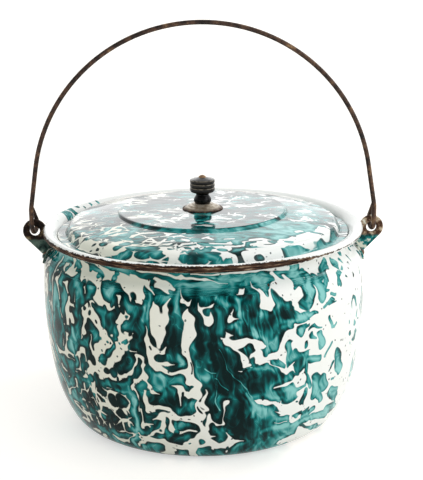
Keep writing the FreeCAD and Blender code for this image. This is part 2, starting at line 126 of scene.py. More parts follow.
# Enamel colours, and the green from thick to thin
CREAM = (0.76, 0.765, 0.655, 1)
CHALK = (0.83, 0.85, 0.825, 1)
INK_GREEN = (0.0003, 0.011, 0.011, 1)
DEEP_GREEN = (0.0015, 0.033, 0.034, 1)
EMERALD = (0.0025, 0.088, 0.087, 1)
TEAL = (0.012, 0.23, 0.225, 1)
PALE_TEAL = (0.23, 0.55, 0.53, 1)
MURKY_GREEN = (0.035, 0.075, 0.062, 1)
GREY_GREEN = (0.13, 0.19, 0.155, 1)
GREEN_STOPS = ((0.2, INK_GREEN), (0.36, DEEP_GREEN), (0.5, EMERALD), (0.66, TEAL), (1, PALE_TEAL))

# Metal and wood colours
IRON_BLACK = (0.006, 0.0045, 0.004, 1)
RUST_DARK = (0.026, 0.014, 0.01, 1)
RUST_BROWN = (0.095, 0.048, 0.028, 1)
RUST_OCHRE = (0.33, 0.2, 0.095, 1)
OLIVE = (0.17, 0.125, 0.062, 1)
TAN = (0.43, 0.33, 0.22, 1)
WIRE_GREY = (0.22, 0.19, 0.165, 1)
TIN_DULL = (0.21, 0.165, 0.11, 1)
TIN_PALE = (0.48, 0.43, 0.34, 1)
PAINT_BLACK = (0.001, 0.001, 0.001, 1)
PAINT_RUBBED = (0.003, 0.0027, 0.0024, 1)
# Pale wood of the knob's rubbed crests, which is partly a painted highlight
RUBBED_WOOD_HIGHLIGHT = (0.2, 0.175, 0.135, 1)

# White shapes that part the green front of the pot, each a stroke that tapers from point to point:
# degrees from the front and height at each point, then half width at each
WHITE_STROKES = (
    (-57, 165, -54.5, 156, 2.6, 3.4), (-52, 167, -47.5, 158, -44, 150, 2.4, 3, 3),
    (-44, 166, -37, 160, -30, 156, -25, 151, 2, 2.4, 2.8, 3),
    (-27, 160, -19, 155, -15.4, 148, 1.3, 1.6, 0.8), (-17, 158, -10, 154, 1, 1.3),
    (-24, 163.5, -8, 160.8, 1.2, 1.6), (-8, 160.5, 0, 158.5, 1.6, 1), (0, 158.5, 8, 155.5, 0.8, 0.6),
    (-4, 163.4, 14, 163.4, 0.8, 1.4), (14, 163.2, 32, 162.4, 1.4, 2), (25.8, 158, 28, 152, 2, 2.6),
    (30, 157, 31, 152, 1.4, 1.8), (-75, 162, -71, 140, -73, 112, 1, 1.4, 0.8),
    (-66, 158, -63, 142, -65, 118, -64, 96, 1.2, 0.8, 1.4, 0.8),
    (-70, 104, -68, 80, -63, 66, 0.8, 1.4, 0.8), (-64, 92, -60, 78, 0.8, 1.4), (-73, 88, -71, 60, 1.2, 0.8),
    (-66, 62, -60, 46, 0.8, 1.2), (-60, 150, -58, 128, 0.6, 1.2), (-25, 20, -15, 20, 1.2, 1.8),
    (-15, 19.5, -8, 14, 1.8, 3), (-7.5, 20, -3.5, 14, 2.4, 3.4), (-5.5, 13, -4, 5, 3.4, 3.4),
    (-5, 138, -5, 131, 0.8, 4.2), (-5, 131, -4.6, 119, 4.4, 5.8), (-4.6, 119, -4.9, 104, 5.4, 3),
    (-4.9, 104, -5, 88, -4.2, 80, 2.9, 2.6, 4.5), (-12, 86.5, -7, 85.5, 1.8, 1),
    (-7, 85.5, -5, 84, 1.2, 2.5), (-5.4, 77, -2.2, 76, 2.6, 3.2), (-2.6, 76, -1.9, 66, 3, 1.6),
    (-1.9, 66, -2.1, 58, -2.6, 50, 1.2, 0.9, 1.2), (-10.6, 74, -9, 71, -8.8, 58, 0.6, 1.6, 0.8),
    (-8.8, 68, -5.6, 64.5, 2.2, 1.6), (-5.6, 64.5, -3, 66, -2, 67, 1.4, 1.6, 1.6),
    (-6, 76, -3.2, 74, 1.5, 3), (-5.6, 66.5, -3, 69, 1.8, 2.2),
    (-12, 46.5, -10, 45, -6, 46, -3, 45.5, 1.4, 2, 3, 3.6), (-3, 45.5, -1.2, 40, 3.4, 2.6),
    (-0.7, 36, -0.6, 28, 3.2, 4.5), (-0.6, 28, -1, 22, 5, 7), (-4.5, 22, -1, 22, 4, 6),
    (-1, 21, 4, 18, 4, 1.5), (-3, 49, -0.8, 46, 1.2, 1.4), (-0.8, 57, -0.3, 48, 0.8, 0.9),
    (0.2, 71, 0.6, 63, 0.5, 1.2), (0.6, 63, 1.4, 55, 1.6, 1.2), (-1, 58.5, 1, 57.5, 0.7, 1.6),
    (1.5, 53, 0.3, 52.5, 0.7, 0.4), (1.8, 48, 2.4, 44, 1, 0.6),
    (2.4, 44, 4.3, 40, 6.8, 40.5, 0.5, 0.5, 0.6), (6.8, 41, 7.6, 58, 0.5, 0.9), (7.5, 60, 8, 57, 1.2, 0.4),
    (1.5, 46, 1, 36, 1.2, 1.4), (1.6, 27, 4, 27, 1.2, 0.8), (7.2, 31, 7.9, 23, 0.8, 1.4),
    (7.9, 23, 11, 20.5, 14, 19, 1.8, 1.6, 0.8), (2.6, 22, 5.2, 17, 1.6, 2.4),
    (5.2, 17, 8.6, 18, 8.4, 10, 2.6, 3, 1.5), (3.2, 16, 3.4, 12, 1.2, 1.4),
    (-6.5, 20, -4.8, 12, -4.8, 4, 2.5, 2.2, 2.5), (-12, 33, -9.6, 30.5, 2.4, 1),
    (-9.6, 30.5, -3.4, 33.8, 0.9, 1.2), (-7.6, 152, -7, 145, -5.4, 142.5, -4.4, 147, 0.6, 0.7, 0.9, 0.5),
    (-1.3, 144, -0.4, 138, 1, 129.5, 2.2, 127.5, 0.6, 1, 2.2, 2.2), (2.2, 128, 2.8, 136, 1.6, 0.5),
    (0.6, 140, 2.6, 141, 3.4, 143, 0.6, 0.6, 0.4), (8.2, 138, 8.6, 130, 0.5, 1.6),
    (8.6, 131.5, 12, 131, 1.6, 0.5), (5.8, 116.5, 8.5, 113, 11.5, 109, 1, 2.2, 3.4),
    (11.5, 109.5, 14, 112, 3.6, 2), (10.8, 105, 12.2, 97, 0.7, 1.6),
    (12.2, 97, 13.4, 92.6, 15, 92, 2, 2.2, 1.6), (7.4, 122, 8.4, 118.5, 0.4, 0.8),
    (8.4, 118.5, 10.2, 117.5, 0.9, 0.3), (11, 88.5, 12.5, 87, 0.5, 0.8),
    (10.2, 149.5, 12, 151.5, 14, 153.5, 0.6, 1, 0.6), (16.6, 155, 18.4, 146, 0.6, 1),
    (18.4, 146, 19.6, 137.5, 1.4, 2), (19.6, 137.5, 21.2, 135, 22.6, 139, 2.6, 2.6, 1.5),
    (22.6, 139, 22.8, 148, 1.2, 0.6), (22.8, 148, 24, 150, 0.5, 0.4), (18.6, 150, 19.4, 144, 0.5, 0.7),
    (19.4, 144, 21, 141, 22.2, 145, 0.8, 1.4, 0.8), (25.5, 150, 30, 150.5, 2.5, 2.5),
    (26.5, 146, 33.5, 146, 3.4, 3), (28.5, 141.5, 33.4, 140.5, 3, 3), (31, 136.5, 33.4, 135, 1.4, 1.8),
    (32.4, 132.5, 33.4, 131, 1.2, 1), (33.4, 130, 38, 129.3, 0.9, 1.1), (14.5, 111.5, 16.4, 105, 1.2, 1.2),
    (16.4, 108, 18.6, 105.5, 2.2, 2.2), (18.6, 107, 20, 107, 1.8, 1), (16, 111.8, 18.6, 109.6, 0.6, 1),
    (16.6, 104, 17.6, 99.6, 1.4, 1.6), (14.4, 99, 17.6, 98.4, 1.4, 1.6), (17.6, 98.4, 19, 94, 1.8, 2),
    (17.4, 94.5, 24, 95.5, 1.8, 2.4), (18.6, 91.6, 22, 91, 0.8, 0.8), (24, 96, 27, 93, 2.2, 3.2),
    (22, 98, 25.8, 98.4, 1, 1.2), (25.8, 100, 26.6, 108, 1.8, 2.2), (26.6, 108, 27.6, 111.6, 2.4, 3),
    (27.6, 112, 30.6, 112, 3.4, 2.6), (30.6, 112, 31, 119, 1.4, 0.8), (31, 118.6, 35.4, 119.4, 0.8, 1),
    (30, 110, 36, 108, 4, 5), (31, 102, 38, 102, 4, 4.5), (33, 96.5, 38, 96, 2, 3),
    (35.6, 117, 38, 117.5, 1.6, 2), (26.6, 104, 27, 94, 1.6, 1.2), (27.2, 93, 27.6, 84, 1, 0.8),
    (29.8, 103, 30.2, 97, 1.4, 0.6), (22.3, 89, 26, 82, 28, 80, 0.5, 1.2, 1.2),
    (28, 80.5, 30, 82, 1.4, 1.6), (29.4, 84, 30.8, 87, 1.2, 0.9), (30.6, 82, 31.4, 78, 0.5, 0.6),
    (25.6, 68.4, 28.4, 69.4, 1, 1.4), (28.4, 70.4, 31.4, 72.4, 0.8, 1.4), (31.6, 72, 33, 68, 1.8, 3.4),
    (33, 70, 36, 70, 4, 4.6), (34.6, 76, 36.2, 77.4, 2, 2), (33, 64.5, 36, 65, 1.2, 1.6),
    (16.8, 59, 18.6, 57.4, 0.8, 2.4), (18.6, 57.4, 21.4, 56.4, 2.8, 2.6),
    (21.4, 55.6, 25, 53, 27, 51.6, 2, 1.2, 1.4), (27, 52.5, 27.5, 55, 1.2, 0.8),
    (27.2, 50.5, 30, 46.6, 1.6, 3.2), (28.5, 47, 34, 46.6, 3, 4), (34, 50, 36.6, 54, 2.6, 3),
    (33.4, 56, 36.4, 57, 2.4, 3), (36.4, 57, 38, 60, 2, 1.4), (31, 43.4, 38, 42.4, 3, 3.2),
    (31.8, 38, 32.6, 32, 1.6, 2.4), (32.6, 33, 36.5, 33, 3, 2.4), (25, 34.5, 30, 31.8, 0.6, 0.9),
    (28, 45, 24.4, 46.6, 1, 0.4), (30, 43, 26.5, 42.4, 1.4, 0.6), (30, 9, 38, 10, 3, 5),
    (-36, 155, -33.4, 155, 1.6, 0.5), (-33, 155.8, -23, 155, 0.4, 0.8), (-25, 152.5, -22.2, 152, 1.4, 3),
    (-22.2, 152, -21.4, 147, 3.2, 2.6), (-21.4, 147, -21, 141, 1.8, 0.7),
    (-25.6, 149, -23.6, 142.5, -21.6, 142.4, 0.5, 0.8, 1), (-36, 145, -34.6, 140, 1, 1.8),
    (-34.6, 139, -32, 134.6, 2.2, 3), (-32, 134.4, -30.2, 136, 2.6, 2.4),
    (-28.8, 144, -27.6, 143, -27, 134, -26.6, 128, 0.5, 0.7, 1, 3.2), (-26.6, 128, -28.6, 124.4, 3, 2),
    (-26.4, 128.5, -25, 129.5, 2.4, 0.8), (-27.6, 123, -27.6, 116, 2.4, 1.4),
    (-27.6, 116, -24, 115, -23, 116, 1.6, 0.8, 0.4), (-28, 117, -28.2, 109, 1.2, 3),
    (-28.2, 110, -24.6, 111.6, 3, 1), (-35.6, 117, -33.4, 113.4, 1.2, 3.2),
    (-34.6, 112, -31.6, 104, 3.4, 2), (-35, 104, -33, 100, 4.4, 5), (-36, 97, -33.6, 97, 3.4, 3),
    (-33.2, 99, -31.4, 97.6, 3, 1.4), (-31.4, 112.6, -28.2, 108, -27.6, 101, 0.8, 3, 2.8),
    (-27.6, 101, -29.4, 95, -31.6, 89, -32.6, 82, 3, 2.4, 2.2, 3.2), (-34.6, 82, -31, 78.4, 2.4, 3),
    (-36, 80, -34, 80, 3.6, 3.4), (-31.6, 76, -29.6, 75.6, 1.8, 1.4),
    (-29.6, 75.6, -26.6, 78.4, -24.4, 82, -22.8, 91, -22.2, 97.6, 1.2, 1, 1.2, 0.9, 0.9),
    (-22.2, 97.6, -20.6, 97.4, -19.8, 90, -19.2, 81, -18.4, 73, -17, 66.8, 0.8, 0.6, 0.9, 1, 0.8, 1.2),
    (-17, 66.8, -15, 66, 1.3, 0.5), (-25.4, 103.4, -26.8, 105, 1, 1.2), (-24, 108, -25, 104, 0.6, 1.2),
    (-26, 110, -23.4, 112, 0.8, 0.5), (-23.6, 102.2, -21.6, 101.4, 0.7, 0.4),
    (-15.4, 154, -13, 154, 0.8, 1.8), (-13, 153.5, -11.6, 150, 2, 1.2), (-15.6, 142, -15.2, 134, 0.8, 2.2),
    (-14.8, 136, -14.4, 120, 3, 4.4), (-12.6, 127, -11.6, 138, -10.8, 145, 2.6, 1.4, 0.9),
    (-14.4, 120, -14.4, 108.6, 4.6, 2), (-14.2, 126, -12.4, 128, 4, 2.4),
    (-18.4, 124, -18.2, 113, 0.7, 1.6), (-18.2, 113, -17.6, 102, -16.8, 94, 2, 3.4, 3.6),
    (-16.8, 93, -15.2, 89.6, 3.4, 2.6), (-15.2, 89.4, -12.4, 87.6, 2.4, 1.6),
    (-15.6, 104.8, -13.4, 102.4, 0.6, 1.2), (-13.4, 103, -12.2, 108, 1, 0.7),
    (-15.6, 94, -12.4, 93.6, -10, 92.6, 1, 1, 0.6), (-17, 106, -15.8, 105, 1.6, 1),
    (-22.4, 76.5, -20.4, 80, 1.8, 1.2), (-20.4, 80, -19.4, 82, 1, 1), (-22.6, 76, -23.6, 69, 1.6, 1.2),
    (-23.6, 69, -24.2, 66, 1, 0.5), (-22.8, 69, -22.6, 62, 1, 0.5), (-22.4, 62, -22.8, 48, 0.4, 0.5),
    (-21.8, 50, -21.6, 36, 0.9, 0.9), (-21.6, 36.4, -18.6, 36.4, 1, 0.8), (-21.8, 34, -20, 33.4, 1.2, 0.8),
    (-19.4, 69, -19.2, 58, -19.2, 50, 0.9, 1.4, 1), (-19.4, 58, -17.8, 54, 1.6, 1.8),
    (-17.8, 53.4, -13.6, 53.8, 1.8, 1.8), (-13.6, 53.8, -11, 48.6, -10.4, 45, 1.4, 1.4, 1.2),
    (-19, 49.6, -16.6, 50.4, 1, 1), (-16.6, 43.4, -14.2, 48, 1.2, 1.2),
    (-18.6, 41.4, -15.6, 43.6, 0.8, 1.4), (-15.4, 44, -14.8, 36, -15.6, 30.6, 1.6, 1.6, 1.8),
    (-15.8, 31, -19, 27.4, -20.6, 25, 1.4, 1, 0.8), (-12.4, 45, -11.8, 36, 1, 1.2),
    (-11.8, 36, -10.6, 32.6, 1.4, 1.6), (-14.6, 46.4, -12.6, 46, 0.9, 0.9),
    (-24.4, 26, -23.4, 18, 0.6, 1.6), (-23.4, 20, -20.4, 20.6, -18.6, 20.4, 1.6, 1.8, 1.4),
    (-18.6, 20, -15.2, 20.6, 1.2, 1), (-23.6, 16, -25.6, 11, 2, 1.6), (-15.4, 20, -14.2, 13, 1.4, 3),
    (-14.2, 12, -11, 11.4, 2.6, 1.2), (-17, 8, -13, 7, 1, 3), (-24.8, 27, -27.4, 22, 0.4, 0.5),
    (-27.4, 22, -30.4, 14, -36, 14, 0.6, 1, 1.6), (-35, 64.6, -33, 64, 0.7, 0.6),
    (-60, 153.6, -55, 154, 1.6, 2), (-55, 153.4, -51.4, 151.6, 2.4, 2), (-44, 155, -40, 154, 0.6, 1.6),
    (-40, 153.6, -37.6, 149, -37, 142, -35.4, 138, 2, 2.4, 2.8, 3), (-43, 148, -42.6, 141, 0.8, 0.8),
    (-55.6, 144.6, -52.6, 143.4, -51.4, 134, -52.2, 122, 0.7, 1.4, 1.2, 3),
    (-50.6, 127, -47.4, 128, 2.4, 1.2), (-47.4, 128, -46.8, 142, 0.8, 0.4), (-51.6, 120, -49, 118, 3, 3.4),
    (-52.4, 116, -52.6, 105, 2, 2), (-52.6, 105, -54.4, 108, 1.4, 0.8), (-49.8, 114, -48.4, 115, 1, 0.8),
    (-52.4, 105, -53, 95, -54.6, 86, 1.6, 1.4, 1.8),
    (-54.6, 85.4, -50, 82.6, -46.8, 87, -44.4, 91, 2, 0.9, 0.9, 1.3), (-44.4, 91.6, -43.6, 92, 1.4, 1),
    (-43.4, 92, -43.6, 84, 0.9, 0.7), (-60, 78.6, -55.6, 80.6, 2, 1.8), (-55.6, 80.6, -54.6, 85, 1.6, 1.6),
    (-54.6, 78, -50.6, 79, 0.6, 0.4), (-47.4, 73.6, -46.4, 85, 0.8, 0.7), (-50, 71, -47.4, 73.6, 0.5, 0.8),
    (-46.6, 67.6, -45.4, 69, -44, 72.6, 1, 0.8, 0.6), (-44, 73, -42.6, 72, 0.6, 1.4),
    (-44.8, 103, -43, 109.6, 1.2, 2), (-43, 109.6, -42.2, 118, -41.6, 124.6, 1.6, 0.9, 2),
    (-41.6, 124.6, -36.6, 121, 3.4, 3), (-43.6, 128, -41, 128, 1.2, 3.4), (-41, 130, -38.6, 134.6, 3.6, 3),
    (-38.8, 127.6, -37, 122, 3, 3.6), (-36.8, 121, -35.2, 114, 3, 2), (-35.2, 114, -34.6, 104, 2.2, 3),
    (-34.8, 104, -36.4, 98, -37.4, 90, 3, 2.4, 3), (-37.4, 90, -37.2, 80, 3.4, 4.4),
    (-38.4, 91, -39.2, 92, 1.4, 0.8), (-40.2, 107, -40, 97, -39.6, 91, 0.8, 0.9, 0.5),
    (-37.2, 80, -40, 76.4, 4, 3), (-40.6, 78, -42.2, 83, 2, 1.6),
    (-42, 76, -42.2, 66, -41.6, 58, 3, 2.6, 3.2), (-41.6, 57.6, -43.2, 51.6, 2.6, 1.4),
    (-41, 56, -40.8, 46, 1.6, 1.2), (-38, 72, -34.6, 76, 1.6, 2.4), (-38.4, 66, -35.8, 61.6, 0.5, 0.8),
    (-59.6, 44, -50, 55.6, 0.9, 0.8), (-55, 66.4, -49.6, 68.6, 0.9, 0.5), (-56.4, 61, -54.6, 64, 0.9, 0.9),
    (-60, 66, -57, 66.4, 2, 1), (-60, 40, -57.4, 44, 2.4, 1.6), (-57, 36, -50, 33.4, 0.8, 1),
    (-56.4, 33, -51.6, 27, 1.2, 2.4), (-58, 18, -52.4, 21.6, 0.7, 2.4), (-52, 13.4, -47, 12.6, 1.2, 2),
    (-44.6, 9, -43, 11.4, 3, 1.4), (-38, 16, -34, 13, 1.6, 1.6), (-56, 113, -57.4, 121, 1, 0.7),
    (-57, 88, -56.2, 97, 0.9, 0.6), (-60, 143, -58.6, 140, 2.4, 0.8), (-50, 157, -38, 151, 0.9, 2),
    (-31.7, 160, -25.5, 153.5, 0.9, 2),
)

# Green marks on the white, as strokes of the same kind
GREEN_STROKES = (
    (50, 159, 47, 151, 2.5, 4), (55, 158, 58, 146, 3, 2), (53, 150, 54, 141, 1.5, 2.4),
    (60, 153, 63, 141, 1.5, 2), (46, 148, 42, 141, 2, 3), (36, 124.6, 40.5, 123, 3.2, 1.4),
    (31.9, 148, 38, 156, 1.5, 2.6), (38.8, 152, 36.4, 135, 4.2, 6), (41.8, 149, 42.6, 136.5, 4.4, 5),
    (43, 142, 46.2, 140.2, 2, 1.2), (32.9, 114, 32.9, 112.4, 4.4, 4.4),
    (36.2, 111.2, 38.5, 113.4, 42, 111.6, 1, 1.5, 0.8), (36.4, 101, 35.8, 97.8, 1.8, 1.9),
    (37.6, 107, 39, 101.5, 1.6, 1.4), (41.3, 105.5, 42, 96, 3.6, 4.4), (37, 85.5, 42, 84, 3.6, 3.4),
    (33.9, 35.8, 35.2, 38, 2.1, 2.1), (37.3, 35.4, 39.6, 38.4, 1.8, 1.6), (36.6, 57.6, 35.2, 48, 1.8, 2.4),
    (37.4, 76, 38.4, 60, 1.3, 2.4), (40.6, 68, 42, 52, 3.4, 5.6), (44, 61, 46.4, 54.5, 5.6, 4.6),
    (44, 50, 46, 42.6, 4.6, 3.6), (34, 24, 44, 28, 4.6, 3.6), (38, 31.5, 42.6, 35.6, 3.6, 2.8),
    (42, 148.4, 50, 155, 1.6, 2), (43.6, 128.6, 48.4, 131, 1.1, 2.2), (46, 128, 50, 127.6, 1.4, 0.8),
    (47.8, 135.8, 50, 135, 1.5, 1.3), (52.2, 142, 54, 150, 2.2, 1.6), (54, 150, 60, 153, 2, 2.4),
    (46, 117, 47, 106, 1.4, 1.8), (48, 105.5, 49.5, 108.6, 1.6, 1.2), (45.4, 82, 48.2, 92, 1.5, 1.5),
    (52.6, 82, 54.6, 66, 3.6, 5.6), (47.5, 67, 51, 74, 0.9, 1.5), (50.5, 58.2, 52, 58.6, 1.2, 1),
    (52, 46, 60, 36, 5.5, 7), (44, 27, 54, 23, 4.5, 5.5), (52, 30, 60, 24, 5, 5),
    (38, 21, 46, 14, 1.2, 1.6), (46, 14, 60, 6, 2.4, 3), (-4.5, 93, -4.1, 85, 0.8, 0.9),
    (-5.9, 69.3, -4.4, 72, 1.5, 1.6), (-8.2, 67, -8, 65, 0.9, 0.9), (-8, 45.2, -7.8, 45, 0.8, 0.6),
    (-5.2, 45.6, -4.8, 45.4, 0.7, 0.6), (-5.1, 20.5, -4.6, 21, 1.2, 1), (-1.1, 43, -0.9, 43, 0.7, 0.6),
    (20.5, 59, 20.9, 59, 0.8, 0.5), (-17.5, 106.5, -17.2, 105.5, 1, 0.9),
    (-32.4, 104.6, -32.2, 104, 0.9, 0.8), (-33.8, 106, -33.4, 105, 0.9, 0.8),
    (-27.8, 107, -27.4, 106, 0.9, 0.8), (-27.3, 102.4, -27, 102, 0.7, 0.6),
    (-35.6, 96.4, -35.4, 95.6, 0.9, 0.8), (-41, 135, -40.6, 129, 0.8, 0.7),
    (-40.4, 135, -39.8, 130, 1, 0.9), (-42.6, 134, -42.3, 133, 0.9, 0.8), (-38.8, 69, -38, 68, 1, 1),
    (-40, 73, -39.4, 66, 1.9, 1.2), (-43.6, 106, -43.2, 105, 1, 0.9), (-38.4, 77.4, -38, 77, 0.7, 0.6),
    (-41.8, 51.6, -41.4, 51, 1.4, 1.1), (-41.2, 55.6, -40.8, 55.4, 0.7, 0.6),
    (-44.4, 71, -44, 68, 0.9, 1.2), (-46, 66, -45, 62, 1, 1.8), (-36.6, 86, -36.2, 85.4, 0.8, 0.7),
    (-18, 49.6, -17.8, 49.4, 0.7, 0.7), (-15.7, 50, -14.4, 50.3, 0.9, 1),
    (33.4, 49.6, 33.8, 49.4, 0.7, 0.6), (-38.2, 133, -33.8, 130, 2.6, 2.8),
    (-35.8, 128.4, -33.4, 126.4, 1.6, 1.7), (-34.2, 120.4, -33.6, 119, 1.7, 1.6),
    (-40.6, 144.6, -39.4, 144, 5, 4), (-32.2, 118, -31.6, 116, 2.6, 2.4),
    (-29.6, 121, -29.2, 114, 2.2, 2.6), (-30.6, 107.6, -29, 110, 1.8, 2), (-30.4, 102, -32.8, 94, 2.6, 3.2),
    (-25.4, 124, -24, 119, 2.6, 3), (-26.4, 107.6, -25, 109.4, 1.2, 1), (-33.8, 90, -35.4, 88, 3, 2.6),
    (-31.4, 82, -30.6, 78, 2, 2.2),
)

# Streaks of thinner and of thicker green within the swirls, and fine pale veins
LIGHT_STROKES = (
    (-20, 151, -19.4, 128, 1.2, 0.6), (-16.5, 152, -15.6, 126, 0.8, 0.5), (-11, 152, -11.4, 126, 1.2, 0.6),
    (-8, 153, -8.6, 136, 0.9, 0.5), (-31.5, 148, -32, 145, 2.2, 1.6),
    (-24.8, 58, -24.4, 36, -28, 12, 0.9, 0.9, 1.2), (-14, 81, -13.5, 75, 2.2, 1.6),
    (-49, 108, -48, 99, 1.5, 1.5), (-17.5, 148, -17, 130, 1.2, 1), (-7.5, 101, -8, 91, 1.2, 1.2),
    (-4, 58, -3.6, 53, 1.6, 1.2), (-2, 14, -2, 8, 1.6, 1.6), (-17, 24, -16.4, 22, 1.4, 1.2),
    (16.3, 128, 17, 115, 1.8, 1.2), (25, 124.5, 32, 122, 1.6, 1), (33, 113.4, 33.2, 111, 2, 1.8),
    (28.3, 103, 28.5, 91, 1, 1), (1.2, 112, 1.6, 96, 0.9, 0.6), (38, 147, 37, 138, 2, 1.6),
    (10, 124.5, 12.4, 119, 1.2, 0.8), (17.5, 87, 18.8, 79, 1.6, 1), (14, 66, 17.4, 44, 0.8, 1.4),
    (21, 27.5, 31, 28, 1.6, 1.2), (-46, 140, -46.4, 122, 0.8, 0.8), (4, 148, 9, 138, 0.8, 1.2),
    (10.5, 146, 12.5, 132, 0.8, 1.2), (41, 146, 42, 138, 1.4, 1),
)
DARK_STROKES = (
    (2, 118, 4, 92, 6, 6), (6, 100, 10, 84, 5, 5), (-21, 130, -21.5, 104, 3, 3.4),
    (-10, 140, -10, 108, 2, 2), (10, 50, 11, 26, 4, 5), (-42, 24, -32, 27, 6, 5), (-30, 55, -30, 44, 3, 3),
    (-16, 60, -11, 60, 2.5, 3), (-28, 86, -25, 96, 3, 4), (-3, 150, -1.4, 124, 1.6, 2),
    (22, 130, 30, 128, 4, 3), (33.6, 88, 34, 82, 3, 3), (-11.6, 24, -10.6, 16, 3, 3),
    (18, 84, 26, 75, 3, 3), (-38, 60, -38, 46, 2, 2), (6, 148, 8, 134, 4, 4), (14, 146, 15, 134, 5, 5),
    (3, 76, 5, 44, 4, 4), (12, 60, 13, 30, 4, 5),
)
VEIN_STROKES = (
    (0, 91, 1.5, 87, 3.5, 86, 0.3, 0.3, 0.3), (3.4, 81, 5, 79, 7.5, 71, 0.3, 0.3, 0.3),
    (4.3, 78, 4.2, 62, 5.8, 52, 0.3, 0.3, 0.4), (5, 105, 7.5, 90, 16, 63, 0.2, 0.3, 0.2),
    (11, 88, 16, 89.5, 0.3, 0.4),
)

# Chips in the enamel below the rim, and green marks on the inner lip, in the same terms
CHIP_STROKES = (
    (22.6, 152.4, 25.6, 152.9, 1.1, 0.8), (-19, 157.6, -16.4, 156.8, 1.0, 0.7),
)
LIP_STROKES = (
    (-116, 172.4, -109, 165.5, 9.0, 9.0), (-122.6, 172, -121.8, 171, 1.6, 1.2),
    (-126.4, 172, -126, 171.4, 1.4, 1), (-130.5, 172, -130, 171.5, 1.4, 1),
    (-97.5, 171.5, -96, 167, 0.5, 0.3), (-94.5, 170.5, -93.8, 166.5, 0.4, 0.3),
)

# White shapes and green marks on the front of the lid, and green under the knob:
# x and y at each point, then half width at each
LID_WHITES = (
    (64, -92, 84, -76, 100, -54, 5, 6, 5), (100, -54, 108, -36, 4, 3),
    (-101, -66, -93, -71, -86, -79, -76, -87, 2, 3, 4, 4), (-76, -86, -66, -95, -61, -98, 5, 3, 1.5),
    (-103, -50, -99, -62, 1, 1.5), (-100, -40, -101, -50, 2, 1.2), (-113, -36, -108, -50, 1.2, 1),
    (-98, -46, -94, -40, 1, 0.8), (-94, -40, -90, -36, 1.5, 1), (-85, -51, -86, -55, 1.2, 0.8),
    (-80, -62, -70, -60, 1.4, 1.2), (-88, -66, -80, -60, -76, -52, 1, 1, 1.2),
    (-76, -54, -68, -57, 1.6, 1.2), (-74, -50, -70, -46, 2, 1), (-84, -68, -72, -67, 1.2, 0.8),
    (-72, -66, -68, -58, 1.6, 1.2), (-72, -67, -62, -66, 1.6, 0.8), (-79, -70, -70, -68, 1.2, 0.8),
    (-77, -70, -79, -78, 1.4, 1), (-78, -80, -72, -85, 1, 1.2),
    (-72, -84, -62, -82, -56, -74, -50, -70, -40, -72, -30, -75, 1.2, 1.2, 1.8, 1.2, 0.8, 1),
    (-30, -75, -18, -78, 0.8, 0.6), (-58, -80, -55, -88, 1.2, 0.8), (-70, -86, -64, -84, 1, 0.8),
    (-62, -94, -56, -91, 1.2, 1.4), (-56, -91, -48, -89.5, -44, -84, 1.2, 0.8, 0.8),
    (-44, -84, -42, -86, 0.6, 0.5), (-45, -89, -38, -91.5, 0.8, 1), (-56, -93.5, -46, -97, 0.7, 0.7),
    (-46, -97, -36, -97, 0.8, 1.2), (-36, -97, -31, -90, -28, -84, 1.4, 1, 0.8),
    (-28, -85, -20, -86.5, 0.8, 1.2), (-20, -86.5, -12, -92, 1, 1.6), (-28, -97, -24, -95, 0.8, 0.8),
    (-33, -97, -26, -96.8, 1.2, 0.8), (-34, -101, -26, -101.5, -22, -104, 0.6, 0.9, 0.6),
    (-21, -98, -22, -104, 0.8, 0.8), (-18, -101, -16, -98, 0.8, 1), (-16, -98, -8, -97.5, 1.2, 0.9),
    (-8, -97, -2, -96, 0.8, 0.6), (-28, -110, -22, -112, 2.4, 4), (-22, -113, -14, -110, 2.2, 1.2),
    (-30, -107, -20, -107.5, 0.8, 1.6), (-20, -107.5, -17, -105, -16, -109, 1.4, 0.8, 1.2),
    (-14, -110, -4, -111.5, 1.4, 1.6), (-4, -111.5, 0, -107, 1.2, 0.8), (-20, -114, -26, -117, 2.5, 1.5),
    (-4, -100, -3, -106, 0.5, 0.6), (0, -97, 10, -98, 0.6, 1), (8, -90, 4, -86, 0.8, 1),
    (0, -88, 4, -84, 0.7, 0.7), (10, -98.5, 20, -98, 1, 1.2), (19, -92, 22, -98, 1.2, 1.5),
    (18, -90, 28, -88.5, 1, 0.6), (10, -106, 20, -103, 1.5, 1.5), (20, -103, 32, -101.5, 1.4, 1.2),
    (32, -101, 32.6, -95, 1.2, 1), (32.6, -95, 40, -90, 48, -87, 0.8, 1.2, 1.4),
    (4, -105, 10, -107, 20, -107, 1.6, 2.6, 3), (8, -112, 18, -114, 2.2, 3), (18, -115, 26, -116, 2.6, 2),
    (40, -99, 46, -95, 2, 2.4), (46, -93, 56, -90, 2.4, 2), (50, -88, 54, -87, 1.6, 1.4),
    (36, -107, 50, -105, 1.2, 3.4), (34, -113, 50, -108, 2.5, 3.4), (40, -109, 60, -101, 2, 4),
    (46, -99, 58, -97, 2, 2.6), (56, -98, 66, -92, 3, 3), (62, -90, 68, -86, 2, 1.4),
    (62, -86, 70, -81, 1, 0.8), (70, -82, 84, -68, 1, 2.2), (84, -70, 96, -55, 3, 3),
    (70, -90, 92, -68, 2.5, 3), (78, -64, 82, -62, 1.5, 1.2), (96, -52, 108, -34, 114, -10, 3, 3, 3),
)
LID_MARKS = (
    (-94.4, -66.4, -93.6, -67, 1.2, 1), (-82, -66.4, -76, -63.4, 2.2, 1.2),
    (-106, -48, -102.5, -60, 2.2, 2), (-98, -56, -87, -65, 2.6, 2.4), (-97, -46, -84, -57, 2.4, 2.4),
    (-85, -66, -74, -73, 2.4, 2), (-105, -38, -97, -50, 2.4, 2.4), (-80, -79.6, -79, -80.6, 1.7, 1.5),
    (-86.6, -81.4, -85.6, -82.2, 1.1, 0.9), (-91, -77.4, -89.6, -78.8, 0.5, 0.4),
)
PANEL_MARKS = (
    (0, -18, -1, -40, 10, 9), (-9, -52, 12, -55, 4, 5), (2, -66, -8, -64, 3, 4),
)

